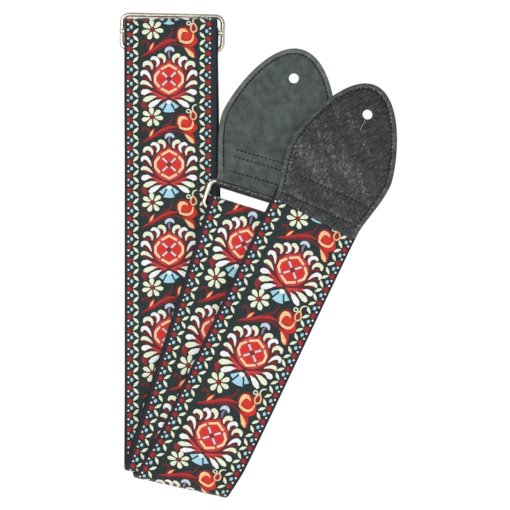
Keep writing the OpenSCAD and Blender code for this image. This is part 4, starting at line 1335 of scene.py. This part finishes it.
def leather_loop():
    """The rear tab's leather going round the ring's bar and back along the tab."""
    r = (LEATHER_LOOP_R + LEATHER_LOOP_OUT_R) / 2
    low_z, high_z = REAR_PLATE_LOW + FACE_T / 2, REAR_FACE_Z + FACE_T / 2
    path = [(PINCH_L * t, mix(-r, low_z, t)) for t in np.linspace(1, 0, 8, endpoint=False)]
    path += [(-r * math.sin(a), -r * math.cos(a)) for a in np.linspace(0, math.pi, 24)]
    path += [(PINCH_L * t, mix(r, high_z, t)) for t in np.linspace(0, 1, 9)[1:]]
    path += [(u, high_z) for u in np.linspace(PINCH_L, FLAP_L, 8)[1:]]
    path = np.array(path)
    heading = np.gradient(path, axis=0)
    heading /= np.linalg.norm(heading, axis=1)[:, None]
    out = np.column_stack([-heading[:, 1], heading[:, 0]])
    t = FACE_T / 2
    seam_x = 1 - 2 * STITCH_INSET / TAB_BASE_W
    columns = [-1.0, *np.linspace(-seam_x, seam_x, 11), 1.0]
    ring = [(x, t) for x in columns] + [(1.0, 0.0)] + [(-x, -t) for x in columns] + [(-1.0, 0.0)]
    points, slots = [], []
    for (u, h), side in zip(path, out):
        half = float(rear_outline.half(np.array([max(u, 0.0)]))[0])
        for x, e in ring:
            trim = LOOP_TRIM if abs(x) == 1 and e else 0.0
            points.append((x * (half - trim), u + side[0] * e * (1 - trim), h + side[1] * e * (1 - trim)))
    at_rim = [max(abs(a[0]), abs(b[0])) == 1 for a, b in zip(ring, ring[1:] + ring[:1])]
    for u, h in path[:-1]:
        # Past the bend, the loop's top is painted in the lining's lighter grey as a highlight on the rolled
        # edge, with its side edges in the highlit rim grey; the rest stays black leather.
        painted_lit_top = h > 0 and u > LOOP_LIT_FROM_U
        slots += [1 + rim if painted_lit_top else 0 for rim in at_rim]
    materials = [leather_material, *lining_materials[:2]]
    faces = capped(len(path), len(ring))
    obj = mesh_object("rear_tab_loop", on_rear_loop(points), faces, materials, slots + [0, 0])
    outward(obj)
    return obj


loop_piece = leather_loop()
# Height of each thread, which lies a little below the leather's face in its groove
EDGE_SINK, CROSS_SINK = GROOVE_DEEP * 0.6, GROOVE_DEEP * 0.4
front_top = SEAM + FACE_T
on_tail = on_plane(LOOP_END_P, SLIDER_TAIL_Z + RIBBON_T, SLIDER_TILT, 0)
front_edge_stitches = capsule_rows("front_tab_edge_thread", on_front_tab,
                                   edge_spots(front_outline, STITCH_INSET),
                                   lambda x, u: front_top - EDGE_SINK)
front_cross_stitches = capsule_rows("front_tab_cross_thread", on_front_tab, row_spots(FRONT_ROWS),
                                    lambda x, u: front_top - CROSS_SINK)
rear_edge_stitches = capsule_rows("rear_tab_edge_thread", on_rear_tab,
                                  edge_spots(rear_outline, PINCH_L + 1),
                                  lambda x, u: rear_lining_base(u) + LINING_T - EDGE_SINK)
rear_cross_stitches = capsule_rows("rear_tab_cross_thread", on_rear_tab, row_spots(REAR_ROWS),
                                   lambda x, u: REAR_FLAP_Z + LINING_T - EDGE_SINK)
tail_stitches = capsule_rows("slider_loop_thread", on_tail, row_spots(TAIL_ROWS), lambda x, u: 0.0)

for obj, body, slot, nodes in (
    (front_face, "front_flap", "leather", ["front_tab_face"]),
    (front_lining, "front_flap", "lining", ["front_tab_lining"]),
    (front_edge_stitches, "front_flap", "thread", ["front_tab_edge_stitches"]),
    (front_cross_stitches, "front_flap", "thread", ["front_tab_cross_stitches"]),
    (rear_face, "rear_tab", "leather", ["rear_tab_face"]),
    (loop_piece, "rear_tab", "leather", []),
    (rear_lining, "rear_tab", "lining", ["rear_tab_lining"]),
    (rear_edge_stitches, "rear_tab", "thread", ["rear_tab_edge_stitches"]),
    (rear_cross_stitches, "rear_tab", "thread", ["rear_tab_cross_stitches"]),
    (tail_stitches, "slider", "thread", ["slider_loop_stitches"]),
):
    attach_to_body(obj, body)
    if nodes:
        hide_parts(*nodes)

# Ring and slider: polished nickel
nickel = Shader("nickel", 0.26, Metallic=1.0)
nickel.colour(nickel.noise(120.0, 4.0), srgb(198, 195, 180), srgb(216, 213, 199))
nickel.bump((nickel.noise(900.0, 2.0), 0.06, 0.0002))
for name in ("ring", "slider_frame", "slider_mid_bar"):
    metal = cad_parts[name]
    metal.data.materials.clear()
    metal.data.materials.append(nickel.material)


# Floor, light and camera
PHOTO_PX = 510
MM_PER_PX = 0.5489
VIEW_CENTRE = np.array([-2.09, -0.93])
CAMERA_HEIGHT = 2.4
SOFTBOX = (-0.26, -0.2, 1.0)
SKY_STOPS = (0.0, 0.5, 0.9, 0.97)
SKY_LEVELS = (0.12, 0.28, 0.34, 1.0)
SKY_STRENGTH = 1.7
FLOOR_SIZE = 6.0
FLOOR_Z = -0.0002
FLOOR_GLOW = 0.92

floor_material = Shader("floor", 0.9)
floor_material.bsdf.inputs["Base Color"].default_value = srgb(110, 110, 110)
floor_material.bsdf.inputs["Emission Color"].default_value = (1.0, 1.0, 1.0, 1.0)
floor_material.bsdf.inputs["Emission Strength"].default_value = FLOOR_GLOW
bpy.ops.mesh.primitive_plane_add(size=FLOOR_SIZE, location=(0, 0, FLOOR_Z))
floor = bpy.context.object
floor.name = "floor"
floor.data.materials.append(floor_material.material)
floor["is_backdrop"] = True


def area_light(name, place, size, power):
    light = bpy.data.lights.new(name, "AREA")
    light.shape, light.size, light.energy = "DISK", size, power
    obj = bpy.data.objects.new(name, light)
    obj.location = place
    obj.rotation_euler = (-Vector(place)).to_track_quat("-Z", "Y").to_euler()
    bpy.context.scene.collection.objects.link(obj)


area_light("key", (-0.7, 0.25, 1.7), 0.8, 16.0)
area_light("fill", (1.2, -0.5, 1.5), 1.4, 6.0)

scene = bpy.context.scene
world = bpy.data.worlds.new("studio")
world.use_nodes = True
sky = world.node_tree
coordinates = sky.nodes.new("ShaderNodeTexCoord")
towards = sky.nodes.new("ShaderNodeVectorMath")
towards.operation = "DOT_PRODUCT"
towards.inputs[1].default_value = Vector(SOFTBOX).normalized()
glow = sky.nodes.new("ShaderNodeValToRGB")
stops = glow.color_ramp.elements
for place in SKY_STOPS[1:-1]:
    stops.new(place)
for stop, place, glow_level in zip(stops, SKY_STOPS, SKY_LEVELS):
    stop.position, stop.color = place, (glow_level, glow_level, glow_level, 1.0)
sky.links.new(coordinates.outputs["Generated"], towards.inputs[0])
sky.links.new(towards.outputs["Value"], glow.inputs["Fac"])
sky.links.new(glow.outputs["Color"], sky.nodes["Background"].inputs["Color"])
sky.nodes["Background"].inputs["Strength"].default_value = SKY_STRENGTH
scene.world = world
scene.view_settings.view_transform = "Standard"

camera_data = bpy.data.cameras.new("camera")
camera = bpy.data.objects.new("camera", camera_data)
scene.collection.objects.link(camera)
camera.location = (VIEW_CENTRE[0] * MM, VIEW_CENTRE[1] * MM, CAMERA_HEIGHT)
camera_data.sensor_fit = "HORIZONTAL"
camera_data.angle = 2 * math.atan(PHOTO_PX * MM_PER_PX * MM / 2 / CAMERA_HEIGHT)
scene.camera = camera

visual_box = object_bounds()
boxes = {"cad": cad_box, "visual": visual_box}
{name: [list(corner) for corner in box] for name, box in boxes.items()}
